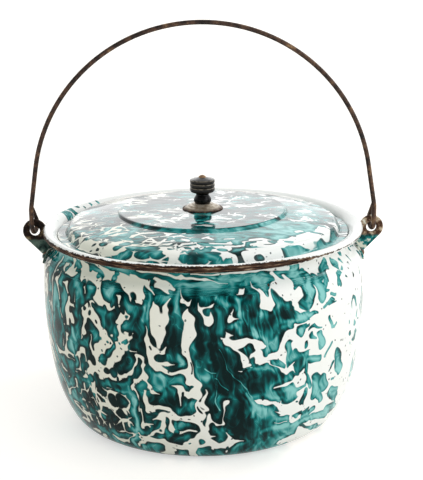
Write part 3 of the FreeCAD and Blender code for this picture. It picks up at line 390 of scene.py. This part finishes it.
# Streaks of the front: how softly they join, from where to where the tone comes in, and the tone
STREAKS = (
    (LIGHT_STROKES, 0.5, 2.2, -1.2, 0.3), (DARK_STROKES, 2, 7, -4, -0.28),
    (VEIN_STROKES, 0.2, 0.4, -0.2, 0.42),
)

# Sockets of the node group that draws one stroke
STROKE_INPUTS = {
    "NodeSocketVector": ("Place", "Start", "Run", "Along"),
    "NodeSocketFloat": ("Nearest", "Half", "Taper", "Rounding"),
}


class Net:
    """Net of nodes of a material, a group or the world, with a short method for each kind of node."""

    def __init__(self, name, kind="material"):
        if kind == "group":
            self.tree = bpy.data.node_groups.new(name, "ShaderNodeTree")
        else:
            shelf = {"material": bpy.data.materials, "world": bpy.data.worlds}[kind]
            self.owner = shelf.new(name)
            self.owner.use_nodes = True
            self.tree = self.owner.node_tree
        self.tree.nodes.clear()

    def node(self, kind, inputs, **settings):
        """New shader node with its settings, and its inputs linked or set by name or number."""
        node = self.tree.nodes.new("ShaderNode" + kind)
        for key, value in settings.items():
            setattr(node, key, value)
        for key, value in inputs.items():
            if isinstance(value, bpy.types.NodeSocket):
                self.tree.links.new(value, node.inputs[key])
            else:
                node.inputs[key].default_value = value
        return node

    def math(self, operation, *values):
        return self.node("Math", dict(enumerate(values)), operation=operation).outputs[0]

    def plus(self, total, *others):
        for other in others:
            total = self.math("ADD", total, other)
        return total

    def minus(self, first, second):
        return self.math("SUBTRACT", first, second)

    def times(self, first, second):
        return self.math("MULTIPLY", first, second)

    def line(self, value, factor, offset):
        return self.math("MULTIPLY_ADD", value, factor, offset)

    def apart(self, value, middle):
        """How far a value lies from a middle one, to either side."""
        return self.math("ABSOLUTE", self.minus(value, middle))

    def vector(self, operation, *values, output=0):
        """Vector operation: its vector, or its number as output 1."""
        node = self.node("VectorMath", dict(enumerate(values)), operation=operation)
        return node.outputs[output]

    def scale(self, vector, factor):
        return self.node("VectorMath", {0: vector, 3: factor}, operation="SCALE").outputs[0]

    def clamp(self, value):
        return self.node("Clamp", {0: value}).outputs[0]

    def combine(self, x, y, z):
        return self.node("CombineXYZ", {0: x, 1: y, 2: z}).outputs[0]

    def split(self, vector):
        return self.node("SeparateXYZ", {0: vector}).outputs

    def noise(self, place, size, detail=1, roughness=0.5, distortion=0, output=0):
        """Noise with features of a size: its level, or its colour as output 1."""
        inputs = dict(Vector=place, Scale=1 / size, Detail=detail, Roughness=roughness, Distortion=distortion)
        return self.node("TexNoise", inputs).outputs[output]

    def cells(self, place, size, feature):
        inputs = {"Vector": place, "Scale": 1 / size}
        return self.node("TexVoronoi", inputs, feature=feature).outputs[0]

    def step(self, value, low, high, start=0, end=1):
        """Smooth step from start to end as a value goes from low to high."""
        inputs = {"Value": value, "From Min": low, "From Max": high, "To Min": start, "To Max": end}
        return self.node("MapRange", inputs, interpolation_type="SMOOTHSTEP").outputs[0]

    def mix(self, factor, first, second):
        return self.node("Mix", {0: factor, 6: first, 7: second}, data_type="RGBA").outputs[2]

    def blend(self, factor, first, second):
        return self.node("Mix", {0: factor, 2: first, 3: second}, data_type="FLOAT").outputs[0]

    def ramp(self, factor, stops):
        """Colour ramp through (place, colour) stops."""
        node = self.node("ValToRGB", {0: factor})
        elements = node.color_ramp.elements
        while len(elements) < len(stops):
            elements.new(1)
        for element, (place, colour) in zip(elements, stops):
            element.position = place
            element.color = colour
        return node.outputs[0]

    def place(self):
        """Place on the part in millimetres, which moves with the piece."""
        return self.scale(self.node("TexCoord", {}).outputs["Object"], 1 / MILLIMETRE)

    def ring(self, x, y):
        """Distance from the middle line of the pot."""
        return self.math("SQRT", self.line(x, x, self.times(y, y)))

    def facing(self):
        """Direction of the surface itself, in the frame of the piece, by its three parts."""
        return self.split(self.node("TexCoord", {}).outputs["Normal"])

    def shown(self):
        """One for the rays that show the background itself, in the picture or in gloss and glass."""
        rays = self.node("LightPath", {}).outputs
        seen = self.math("MAXIMUM", rays["Is Camera Ray"], rays["Is Glossy Ray"])
        return self.math("MAXIMUM", seen, rays["Is Transmission Ray"])

    def surface(self, colour, roughness, height, depth, **inputs):
        """Material with a principled surface, whose bumps of height 0 to 1 have a depth in millimetres."""
        bump = self.node("Bump", {"Height": height, "Distance": depth * MILLIMETRE})
        inputs.update({"Base Color": colour, "Roughness": roughness, "Normal": bump.outputs[0]})
        bsdf = self.node("BsdfPrincipled", inputs)
        self.node("OutputMaterial", {"Surface": bsdf.outputs[0]})
        return self.owner


def stroke_group():
    """Group that joins one tapering stroke to the ones before it, by the distance to the nearest edge."""
    net = Net("tapering_stroke", "group")
    for kind, names in STROKE_INPUTS.items():
        for name in names:
            net.tree.interface.new_socket(name, in_out="INPUT", socket_type=kind)
    net.tree.interface.new_socket("Distance", in_out="OUTPUT", socket_type="NodeSocketFloat")
    given = net.tree.nodes.new("NodeGroupInput").outputs
    share = net.clamp(net.vector("DOT_PRODUCT", given["Place"], given["Along"], output=1))
    slid = net.vector("SUBTRACT", given["Place"], net.scale(given["Run"], share))
    half = net.line(share, given["Taper"], given["Half"])
    edge = net.minus(net.vector("DISTANCE", slid, given["Start"], output=1), half)
    joined = net.math("SMOOTH_MIN", given["Nearest"], edge, given["Rounding"])
    net.tree.links.new(joined, net.tree.nodes.new("NodeGroupOutput").inputs["Distance"])
    return net.tree


def stroke_legs(strokes):
    """Straight legs of all strokes in turn: both ends, then half width at both ends."""
    for stroke in strokes:
        points = len(stroke) // 3
        halves = stroke[2 * points:]
        for leg in range(points - 1):
            yield (*stroke[2 * leg:2 * leg + 4], *halves[leg:leg + 2])


def joined_strokes(net, place, strokes, rounding, across=1):
    """Distance to the edge of many strokes, below zero inside them. The place has 1 as its z."""
    nearest = FAR
    for ax, ay, bx, by, start, end in stroke_legs(strokes):
        left = ax * across
        ux, uy = bx * across - left, by - ay
        square = ux * ux + uy * uy
        inputs = {
            "Place": place, "Nearest": nearest, "Start": (left, ay, 1), "Run": (ux, uy, 0),
            "Along": (ux / square, uy / square, -(left * ux + ay * uy) / square),
            "Half": start, "Taper": end - start, "Rounding": rounding,
        }
        nearest = net.node("Group", inputs, node_tree=STROKE).outputs[0]
    return nearest


def pot_strokes(net, place, strokes, rounding):
    """Strokes in degrees and height, laid out in millimetres around the belly."""
    return joined_strokes(net, place, strokes, rounding, BELLY_ARC)


def warped(net, place, *waves):
    """Place moved aside by smooth noise, by one wave after the other."""
    for length, amount in waves:
        colour = net.noise(place, length, detail=0, output=1)
        shift = net.vector("SUBTRACT", colour, (MIDDLE, MIDDLE, MIDDLE))
        place = net.vector("ADD", place, net.scale(shift, 2 * amount))
    return place


def spaced(net, place, size, stretch):
    """Place counted in cells of a size, stretched along each axis."""
    return net.vector("MULTIPLY", place, tuple(1 / (size * part) for part in stretch))


def parted_cells(net, place, size, parting, stretch, bend):
    """Pattern of round green cells with white veins between them."""
    waves = [(length, amount * bend) for length, amount in CELL_WAVES]
    laid = spaced(net, warped(net, place, *waves), size, stretch)
    edge = net.minus(parting, net.times(net.cells(laid, 1, "DISTANCE_TO_EDGE"), size))
    core = net.times(net.minus(net.cells(laid, 1, "F1"), CELL_REACH), size)
    return net.math("SMOOTH_MAX", edge, core, 1.5)


def flowing_veins(net, place, width):
    """Pattern of white veins that wander through the green."""
    bent = net.vector("MULTIPLY", warped(net, place, VEIN_WAVE), (1, 1, 0.6))
    level = net.noise(bent, VEIN_SPACING, detail=0.6, distortion=1.2)
    return net.minus(width, net.times(net.apart(level, MIDDLE), VEIN_SPACING))


def green_drops(net, place, barred, stretch):
    """Pattern of round green drops, with none where they are barred."""
    laid = spaced(net, warped(net, place, DROP_WAVE), DROP_SPACING, stretch)
    reach = net.times(net.cells(laid, 1, "F1"), DROP_SPACING)
    radius = net.step(net.noise(place, 13, detail=0), 0.36, 0.6, 0, 3.6)
    return net.line(barred, AWAY, net.minus(reach, radius))


def swirl_paint(net, place, distance, streaks, shift):
    """Green of the swirls: smoky, dark along its edges, lighter within them and dark again in its depth."""
    flow = net.noise(streaks, 1, detail=0.6, roughness=0.4, distortion=1.3)
    cloud = net.noise(place, 26)
    tone = net.line(flow, 0.95, net.line(cloud, 0.8, -0.42))
    rim = net.step(distance, *RIM_TONE)
    middle = net.step(distance, *MIDDLE_TONE)
    depth = net.step(distance, *DEPTH_TONE)
    bands = net.times(net.math("SINE", net.times(distance, 1.3)), 0.04)
    level = net.noise(streaks, 4 / 3, detail=0.5, distortion=1.6)
    ridge = net.step(net.apart(level, MIDDLE), 0.03, 0, 0, 0.12)
    return net.ramp(net.plus(tone, rim, middle, depth, bands, ridge, shift), GREEN_STOPS)


def enamel_ground(net, place, painted_shade):
    """White of the enamel, creamier in random mottles, and creamier and darker where painted shade falls,
    with a few green specks.
    """
    mottle = net.noise(place, 25, detail=3)
    cream = net.line(mottle, 0.5, net.minus(painted_shade, 0.25))
    ground = net.mix(net.clamp(cream), CHALK, CREAM)
    dots = net.cells(warped(net, place, SPECK_WAVE), 5.5, "F1")
    sown = net.step(net.noise(place, 16, detail=2), 0.46, 0.56)
    speck = net.times(net.step(dots, 0.19, 0.12), sown)
    return net.mix(net.times(speck, 0.9), ground, DEEP_GREEN)


def swirled(net, place, distance, streaks, shift, painted_shade):
    """Green paint inside the pattern and white ground outside it."""
    paint = swirl_paint(net, place, distance, streaks, shift)
    ground = enamel_ground(net, place, painted_shade)
    return net.mix(net.step(distance, SOFT_EDGE, -SOFT_EDGE), ground, paint)


def enamel_surface(net, place, colour, bare, ior):
    """Gloss of fired enamel in slight waves, sunken and dull where the iron is bare."""
    rough = net.blend(bare, ENAMEL_ROUGHNESS, RUST_ROUGHNESS)
    wave = net.noise(place, 14)
    return net.surface(colour, rough, net.line(bare, -1.2, wave), 0.25, IOR=ior)


def rust_colours(net, place, size):
    """Mottled colours of old iron, from black scale to ochre rust."""
    mottle = net.noise(place, size, detail=5, roughness=0.65)
    return net.ramp(mottle, ((0.3, IRON_BLACK), (0.44, RUST_DARK), (0.58, RUST_BROWN), (0.72, RUST_OCHRE)))


def cell_patch(net, place, z, angle):
    """Pattern of cells at the lower left of the front, taken away elsewhere."""
    aside = net.step(net.apart(angle, PATCH_ANGLE), *PATCH_WIDE, 0, AWAY)
    above = net.step(net.apart(z, PATCH_Z), *PATCH_HIGH, 0, AWAY)
    parting = net.step(net.noise(place, 13), 0.36, 0.64, -0.2, 1)
    cells = parted_cells(net, place, 8.8, parting, (1, 1, 1.2), 0.4)
    return net.minus(cells, net.plus(aside, above))


def front_swirl(net, place, z, angle, flat):
    """Pattern of the front by strokes, cells and drops."""
    right = net.times(net.minus(angle, GREEN_EDGE), BELLY_ARC)
    white = pot_strokes(net, flat, WHITE_STROKES, WHITE_JOINT)
    painted = net.math("SMOOTH_MAX", right, net.line(white, -1, -POT_WHITE_IN), 1)
    marks = pot_strokes(net, flat, GREEN_STROKES, GREEN_JOINT)
    painted = net.math("SMOOTH_MIN", painted, marks, 0.6)
    painted = net.math("SMOOTH_MAX", painted, cell_patch(net, place, z, angle), 1.2)
    plain = net.math("MINIMUM", net.step(angle, *DROPS_FRONT), net.step(z, *DROPS_HIGH))
    barred = net.math("MAXIMUM", plain, net.step(angle, *DROPS_RIGHT))
    drops = green_drops(net, place, barred, (1, 1, 1.5))
    return net.math("SMOOTH_MIN", painted, drops, 0.8)


def loose_swirl(net, place, angle):
    """Pattern around the sides and the back, in the manner of the front."""
    width = net.step(net.noise(place, 40), 0.34, 0.66, 0.2, 2.7)
    width = net.times(width, net.step(net.math("ABSOLUTE", angle), *THIN_SIDES, 1, 0.4))
    width = net.times(width, net.step(angle, *THIN_LEFT, 0.45, 1))
    cells = parted_cells(net, place, 14, net.times(width, 0.5), (1, 1, 2), 1)
    return net.math("SMOOTH_MAX", cells, flowing_veins(net, place, width), 2)


def beyond_front(net, place, angle):
    """One on the sides and the back, beyond a border that wanders."""
    level = net.noise(place, 20)
    border = net.plus(angle, net.line(level, 2 * BORDER_WANDER, -BORDER_WANDER))
    return net.plus(net.step(border, *RIGHT_BORDER), net.step(border, *LEFT_BORDER))


def front_tones(net, z, angle, flat):
    """How much lighter the green is, by its streaks and veins, by painted light on the right, and along the
    neck.
    """
    tones = []
    for strokes, rounding, outer, inner, tone in STREAKS:
        tones.append(net.step(pot_strokes(net, flat, strokes, rounding), outer, inner, 0, tone))
    # The green is lighter on the right, towards the lamps: painted light.
    painted_light_shift = net.plus(net.step(angle, *PAINTED_LIGHT_FRONT, 0, 0.21), net.step(angle, *PAINTED_LIGHT_RIGHT, 0, 0.12))
    painted_light_shift = net.times(painted_light_shift, net.step(angle, *PAINTED_LIGHT_END))
    smeared = net.step(z, NECK_Z, NECK_Z + 8, 0, 0.24)
    smeared = net.times(smeared, net.step(angle, *SMEAR_END, 1, 0))
    return net.plus(*tones, painted_light_shift, smeared)


def pot_streaks(net, z, angle, sideways, height):
    """Place along the flow of the paint, which leans on the right and runs around the neck."""
    lean = net.step(angle, *LEANING, 0, 0.7)
    across = net.line(height, lean, sideways)
    neck = net.step(z, NECK_Z - 2, NECK_Z + 4)
    stretch = net.blend(neck, 1 / 10, 1 / 30)
    squeeze = net.blend(neck, 1 / 20, 1 / 4)
    return net.combine(net.times(across, stretch), net.times(height, squeeze), 0)


def pot_swirl(net, place, z, turn, angle):
    """Enamel of the outside: the swirls of the front by strokes, and looser ones around the back."""
    moved = warped(net, place, *POT_WAVES)
    sx, sy, sz = net.split(net.vector("SUBTRACT", moved, place))
    sideways = net.line(turn, BELLY_RADIUS, net.plus(sx, sy))
    height = net.plus(z, sz)
    flat = net.combine(sideways, height, 1)
    painted = front_swirl(net, place, z, angle, flat)
    loose = loose_swirl(net, place, angle)
    distance = net.blend(beyond_front(net, place, angle), painted, loose)
    shift = front_tones(net, z, angle, flat)
    streaks = pot_streaks(net, z, angle, sideways, height)
    # The white is creamier and darker on the left, away from the lamps: painted shade.
    painted_shade = net.times(net.step(angle, *PAINTED_SHADE_LEFT), net.step(angle, *PAINTED_SHADE_END))
    return swirled(net, place, distance, streaks, shift, painted_shade)


def pot_inside(net, place, z, flat):
    """White of the inside, with the green marks on its lip."""
    marks = pot_strokes(net, warped(net, flat, LIP_WAVE), LIP_STROKES, 0.3)
    marked = net.times(net.step(marks, 0.3, -0.3), net.step(z, LIP_Z, LIP_Z + 2))
    tint = net.ramp(net.noise(place, 4, detail=2), ((0.35, EMERALD), (0.55, TEAL), (0.7, PALE_TEAL)))
    return net.mix(marked, CHALK, tint)


def pot_outside(net, x, y, ring):
    """One on the faces that look outward or down."""
    nx, ny, nz = net.facing()
    outward = net.math("DIVIDE", net.line(nx, x, net.times(ny, y)), ring)
    return net.math("MAXIMUM", net.step(outward, -0.05, 0.05), net.step(nz, -0.3, -0.4))


def pot_chips(net, place, flat):
    """One in the chips of the enamel."""
    pocks = net.step(net.noise(place, 7, detail=3, roughness=0.6), 0.745, 0.76)
    spots = pot_strokes(net, warped(net, flat, CHIP_WAVE), CHIP_STROKES, 0.3)
    return net.math("MAXIMUM", pocks, net.step(spots, 0.2, -0.2))


def bead_wear(net, place, ring, z, turn, angle):
    """How much a place lies on the rim's bead, how worn it is there, and the colours of the worn iron."""
    out = net.minus(ring, BEAD_RING)
    up = net.minus(z, BEAD_Z)
    reach = net.vector("LENGTH", net.combine(out, up, 0), output=1)
    bead = net.step(reach, BEAD_RADIUS + 0.8, BEAD_RADIUS + 0.3)
    lean = net.plus(net.times(net.math("ARCTAN2", up, out), TO_DEGREES), 4)
    ragged = net.noise(place, 3.5, detail=4, roughness=0.75)
    ragged = net.times(net.minus(ragged, MIDDLE), 100)
    left = net.step(angle, *WORN_LEFT, 0, 42)
    left = net.plus(left, net.step(angle, *WORN_FRONT, 0, 20))
    width = net.minus(left, net.step(angle, *WORN_END, 0, 54))
    edge = net.plus(net.math("ABSOLUTE", lean), ragged)
    worn = net.step(net.minus(edge, width), 4, -4)
    around = net.combine(net.times(turn, BELLY_RADIUS / 14), net.times(z, 1 / 1.1), 0)
    grain = net.noise(around, 1, detail=4, roughness=0.6)
    iron = net.ramp(grain, ((0.34, IRON_BLACK), (0.47, RUST_DARK), (0.57, RUST_BROWN), (0.68, TAN)))
    return bead, net.times(worn, bead), iron


def pot_enamel():
    """Swirled outside, white inside, and the bead of the rim worn to the iron along the front."""
    net = Net("pot_swirl_enamel")
    place = net.place()
    x, y, z = net.split(place)
    ring = net.ring(x, y)
    turn = net.math("ARCTAN2", x, net.times(y, -1))
    angle = net.times(turn, TO_DEGREES)
    swirl = pot_swirl(net, place, z, turn, angle)
    flat = net.combine(net.times(turn, BELLY_RADIUS), z, 1)
    inside = pot_inside(net, place, z, flat)
    outside = pot_outside(net, x, y, ring)
    colour = net.mix(outside, inside, swirl)
    bead, worn, iron = bead_wear(net, place, ring, z, turn, angle)
    colour = net.mix(bead, colour, inside)
    chips = net.times(pot_chips(net, place, flat), outside)
    colour = net.mix(chips, colour, rust_colours(net, place, 3))
    colour = net.mix(worn, colour, iron)
    return enamel_surface(net, place, colour, net.math("MAXIMUM", chips, worn), ENAMEL_IOR)


def lid_front(net, place, x, y, z, plan):
    """Pattern of the lid's front by strokes, slanting ovals and drops."""
    white = joined_strokes(net, plan, LID_WHITES, 1.4)
    marks = joined_strokes(net, plan, LID_MARKS, 0.4)
    painted = net.math("MINIMUM", net.line(white, -1, LID_WHITE_OUT), marks)
    aslant = net.combine(net.line(y, -0.5, x), net.line(x, 0.35, y), z)
    parting = net.step(net.noise(place, 16), 0.35, 0.65, -0.25, 0.65)
    ovals = parted_cells(net, aslant, 10, parting, (2, 1, 1), 0.4)
    ovals = net.minus(ovals, net.step(x, 0, 40, 0, AWAY))
    painted = net.math("SMOOTH_MAX", painted, ovals, 0.8)
    drops = green_drops(net, place, 0, (1.7, 1, 1))
    return net.math("SMOOTH_MIN", painted, drops, 0.8)


def lid_back(net, place, plan):
    """Pattern of the lid's panel and back by veins, with the green under the knob."""
    drawn = net.vector("MULTIPLY", place, (0.55, 1, 1))
    width = net.step(net.noise(place, 24), 0.36, 0.64, -0.3, 0.65)
    aside = net.vector("ADD", drawn, (210, 90, 0))
    veins = flowing_veins(net, drawn, width)
    veins = net.math("SMOOTH_MAX", veins, flowing_veins(net, aside, width), 1)
    return net.math("SMOOTH_MIN", veins, joined_strokes(net, plan, PANEL_MARKS, 1), 0.8)


def lid_enamel():
    """Swirled top and white underside of the lid."""
    net = Net("lid_swirl_enamel")
    place = net.place()
    x, y, z = net.split(place)
    mx, my = net.split(warped(net, place, *LID_WAVES))[:2]
    plan = net.combine(mx, my, 1)
    painted = lid_front(net, place, x, y, z, plan)
    loose = lid_back(net, place, plan)
    ring = net.ring(x, y)
    panel = net.step(ring, LID_PANEL + 4, LID_PANEL - 2)
    behind = net.math("MAXIMUM", net.step(my, -50, -34), panel)
    distance = net.blend(behind, painted, loose)
    # A green line along the step round the panel, on the front half only: painted shade on the step.
    painted_crease_shade = net.minus(net.apart(ring, LID_PANEL + 1.5), 2)
    painted_crease_shade = net.plus(painted_crease_shade, net.step(y, -20, 0, 0, 8))
    distance = net.math("SMOOTH_MIN", distance, painted_crease_shade, 0.6)
    streaks = net.combine(net.times(mx, 1 / 16), net.times(my, 1 / 8), 0)
    # Tone shift of the lid's green: lighter on the front than on the panel and back, and lighter towards the
    # right, where it is painted light.
    painted_light_shift = net.line(behind, -0.16, net.step(x, 30, 90, 0.15, 0.32))
    # The lid's white is creamier and darker towards its left: painted shade.
    swirl = swirled(net, place, distance, streaks, painted_light_shift, net.step(x, 10, -70))
    colour = net.mix(net.step(net.facing()[2], -0.05, 0.05), CHALK, swirl)
    chips = net.step(net.noise(place, 6, detail=3, roughness=0.6), 0.75, 0.765)
    colour = net.mix(chips, colour, rust_colours(net, place, 5))
    return enamel_surface(net, place, colour, chips, LID_IOR)


def rusted_wire():
    """Brown iron of the bail, darker in patches, with a dull sheen."""
    net = Net("bail_rusted_wire")
    place = net.place()
    colour = rust_colours(net, place, 9)
    pits = net.noise(place, 1.6, detail=4, roughness=0.6)
    rough = net.step(pits, 0.3, 0.7, 0.42, 0.72)
    return net.surface(colour, rough, pits, 0.35, Metallic=0.35)


def worn_ear(name, ring_stops, web_stops):
    """Ear of cast iron with what is left of its enamel on the web and the foot."""
    net = Net(name)
    place = net.place()
    iron = net.ramp(net.noise(place, 6, detail=5, roughness=0.62), ring_stops)
    patch = net.noise(place, 7, detail=3)
    low = net.line(patch, 10, net.split(place)[2])
    kept = net.step(low, EAR_BARE_Z, EAR_ENAMEL_Z)
    colour = net.mix(kept, iron, net.ramp(patch, web_stops))
    pits = net.noise(place, 1.8, detail=4, roughness=0.6)
    rough = net.blend(kept, net.step(pits, 0.3, 0.7, 0.45, 0.75), 0.2)
    return net.surface(colour, rough, pits, 0.3, IOR=ENAMEL_IOR)


def left_ear_rust_and_shade():
    """Darker ear, with dull green left on its web; its darker colours are partly painted shade, on the side
    away from the lamps.
    """
    ring_stops = ((0.36, IRON_BLACK), (0.54, RUST_DARK), (0.62, OLIVE), (0.72, TAN))
    web_stops = ((0.34, INK_GREEN), (0.45, MURKY_GREEN), (0.6, GREY_GREEN), (0.7, CREAM))
    return worn_ear("left_ear_rust_painted_shade", ring_stops, web_stops)


def right_ear_rust_and_light():
    """Browner ear, with bright green and white left on its web; its paler colours are partly painted light,
    on the side of the lamps.
    """
    ring_stops = ((0.34, RUST_DARK), (0.48, RUST_BROWN), (0.58, TAN), (0.7, CREAM))
    web_stops = ((0.36, DEEP_GREEN), (0.45, EMERALD), (0.52, TEAL), (0.58, CREAM))
    return worn_ear("right_ear_rust_painted_light", ring_stops, web_stops)


def rivet_enamel():
    """Rivet heads under worn green enamel."""
    net = Net("rivet_worn_enamel")
    place = net.place()
    patch = net.noise(place, 3, detail=3)
    worn = net.step(patch, 0.5, 0.56)
    colour = net.mix(worn, DEEP_GREEN, rust_colours(net, place, 3))
    return net.surface(colour, net.blend(worn, 0.15, 0.65), patch, 0.2)


def black_knob():
    """Turned wood under black paint, rubbed to the wood along the upper crests of its ridges; these pale
    crests also stand in for highlights, as painted highlight.
    """
    net = Net("knob_black_paint")
    place = net.place()
    grain = net.noise(net.vector("MULTIPLY", place, (1, 1, 0.12)), 1 / 1.2, detail=4)
    colour = net.ramp(grain, ((0.38, PAINT_BLACK), (0.7, PAINT_RUBBED)))
    ring = net.ring(*net.split(place)[:2])
    # Pale rubbed wood on the upper crests of the ridges: partly rubbed paint, partly painted highlight.
    outer = net.step(ring, RIDGE_RING - 0.8, RIDGE_RING - 0.3)
    upper = net.step(net.facing()[2], 0.1, 0.45)
    broken = net.step(net.noise(place, 4, detail=3), 0.36, 0.56, 0.25, 1)
    rubbed_crest_highlight = net.times(net.times(outer, upper), broken)
    colour = net.mix(rubbed_crest_highlight, colour, RUBBED_WOOD_HIGHLIGHT)
    rough = net.step(grain, 0.3, 0.7, 0.08, 0.2)
    return net.surface(colour, rough, grain, 0.08, IOR=KNOB_IOR)


def tinned_sheet():
    """Dull tin of the skirt, browned towards its edge, and browner on the risers of its steps as painted
    shade.
    """
    net = Net("skirt_tinned_sheet")
    place = net.place()
    mottle = net.noise(place, 3.5, detail=4, roughness=0.6)
    tin = net.ramp(mottle, ((0.35, TIN_DULL), (0.65, TIN_PALE)))
    ring = net.ring(*net.split(place)[:2])
    browned = net.step(net.line(mottle, 6, ring), 16.5, 20.5)
    # Rust colours on the steep risers of the steps: painted shade, so that the steps show. The mask that
    # follows holds both rust and this painted shade.
    riser_shade = net.step(net.facing()[2], 0.92, 0.6, 0, 0.75)
    worn = net.math("MAXIMUM", browned, riser_shade)
    colour = net.mix(worn, tin, rust_colours(net, place, 3))
    return net.surface(colour, net.blend(worn, 0.38, 0.7), mottle, 0.12, Metallic=0.55)


def rusted_bolt():
    """Ochre rust of the bolt, the washer and the nut."""
    net = Net("bolt_rusted_iron")
    mottle = net.noise(net.place(), 2.2, detail=4, roughness=0.6)
    colour = net.ramp(mottle, ((0.28, RUST_BROWN), (0.5, RUST_OCHRE), (0.68, TAN)))
    return net.surface(colour, RUST_ROUGHNESS, mottle, 0.25, Metallic=0.3)


def bright_wire():
    """Grey iron of the wire inside the bead."""
    net = Net("rim_wire_iron")
    mottle = net.noise(net.place(), 4, detail=3)
    colour = net.ramp(mottle, ((0.35, RUST_DARK), (0.6, WIRE_GREY)))
    return net.surface(colour, 0.5, mottle, 0.15, Metallic=0.8)


def dress(material, *nodes):
    """Gives the nodes a material in place of their own."""
    for name in nodes:
        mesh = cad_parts[name].data
        mesh.materials.clear()
        mesh.materials.append(material)


def dress_all():
    dress(pot_enamel(), "pot_body")
    dress(lid_enamel(), "lid")
    dress(bright_wire(), "rim_wire")
    dress(left_ear_rust_and_shade(), "left_ear")
    dress(right_ear_rust_and_light(), "right_ear")
    dress(rivet_enamel(), "left_ear_rivets", "right_ear_rivets")
    dress(rusted_wire(), "bail")
    dress(black_knob(), "lid_knob")
    dress(tinned_sheet(), "knob_skirt")
    dress(rusted_bolt(), "knob_bolt", "lid_washer", "knob_nut")


def add_object(name, data):
    """New object in the scene."""
    thing = bpy.data.objects.new(name, data)
    bpy.context.scene.collection.objects.link(thing)
    return thing


def add_camera():
    """Camera of the picture, rolled so that the right side stands a little higher."""
    data = bpy.data.cameras.new("camera")
    data.sensor_fit = "VERTICAL"
    data.sensor_height = SENSOR
    data.lens = FOCAL_PIXELS * SENSOR / IMAGE_HEIGHT
    camera = add_object("camera", data)
    tilt = Matrix.Rotation(math.radians(90 - ELEVATION), 4, "X")
    roll = Matrix.Rotation(math.radians(ROLL), 4, "Z")
    camera.matrix_world = Matrix.Translation(AIM) @ tilt @ roll @ Matrix.Translation((0, 0, DISTANCE))
    bpy.context.scene.camera = camera


def add_world():
    """White behind the part, a dimmer room in front of it in gloss, and a soft level on its surfaces."""
    net = Net("studio", "world")
    toward = net.split(net.node("TexCoord", {}).outputs["Generated"])
    room = net.step(toward[1], -0.3, 0.5, ROOM, 1)
    level = net.blend(net.shown(), AMBIENT, room)
    light = net.node("Background", {"Color": WHITE, "Strength": level})
    net.node("OutputWorld", {"Surface": light.outputs[0]})
    bpy.context.scene.world = net.owner


def pale_floor():
    """Paper that keeps the shadow, and glows where it is seen as the background."""
    net = Net("floor_pale")
    shown = net.shown()
    paper = net.node("BsdfDiffuse", {"Color": net.mix(shown, FLOOR_COLOUR, FLOOR_SHADE)})
    glow = net.node("Emission", {"Color": WHITE, "Strength": net.times(shown, FLOOR_GLOW)})
    both = net.node("AddShader", {0: paper.outputs[0], 1: glow.outputs[0]})
    net.node("OutputMaterial", {"Surface": both.outputs[0]})
    return net.owner


def add_floor():
    """Pale floor that runs into the white behind."""
    mesh = bpy.data.meshes.new("floor")
    half = FLOOR_SIZE / 2
    corners = [(-half, -half, 0), (half, -half, 0), (half, half, 0), (-half, half, 0)]
    mesh.from_pydata(corners, [], [(0, 1, 2, 3)])
    mesh.materials.append(pale_floor())
    floor = add_object("floor", mesh)


def add_lamps():
    """Large soft lamps, each pointed at a place."""
    for name, place, aim, size, power in LAMPS:
        data = bpy.data.lights.new(name, "AREA")
        data.shape = "RECTANGLE"
        data.size, data.size_y = size
        data.energy = power
        lamp = add_object(name, data)
        lamp.location = place
        lamp.rotation_euler = (Vector(aim) - Vector(place)).to_track_quat("-Z", "Y").to_euler()
        lamp.visible_camera = False


bpy.context.scene.view_settings.view_transform = "Standard"
STROKE = stroke_group()
dress_all()
add_camera()
add_world()
add_floor()
add_lamps()
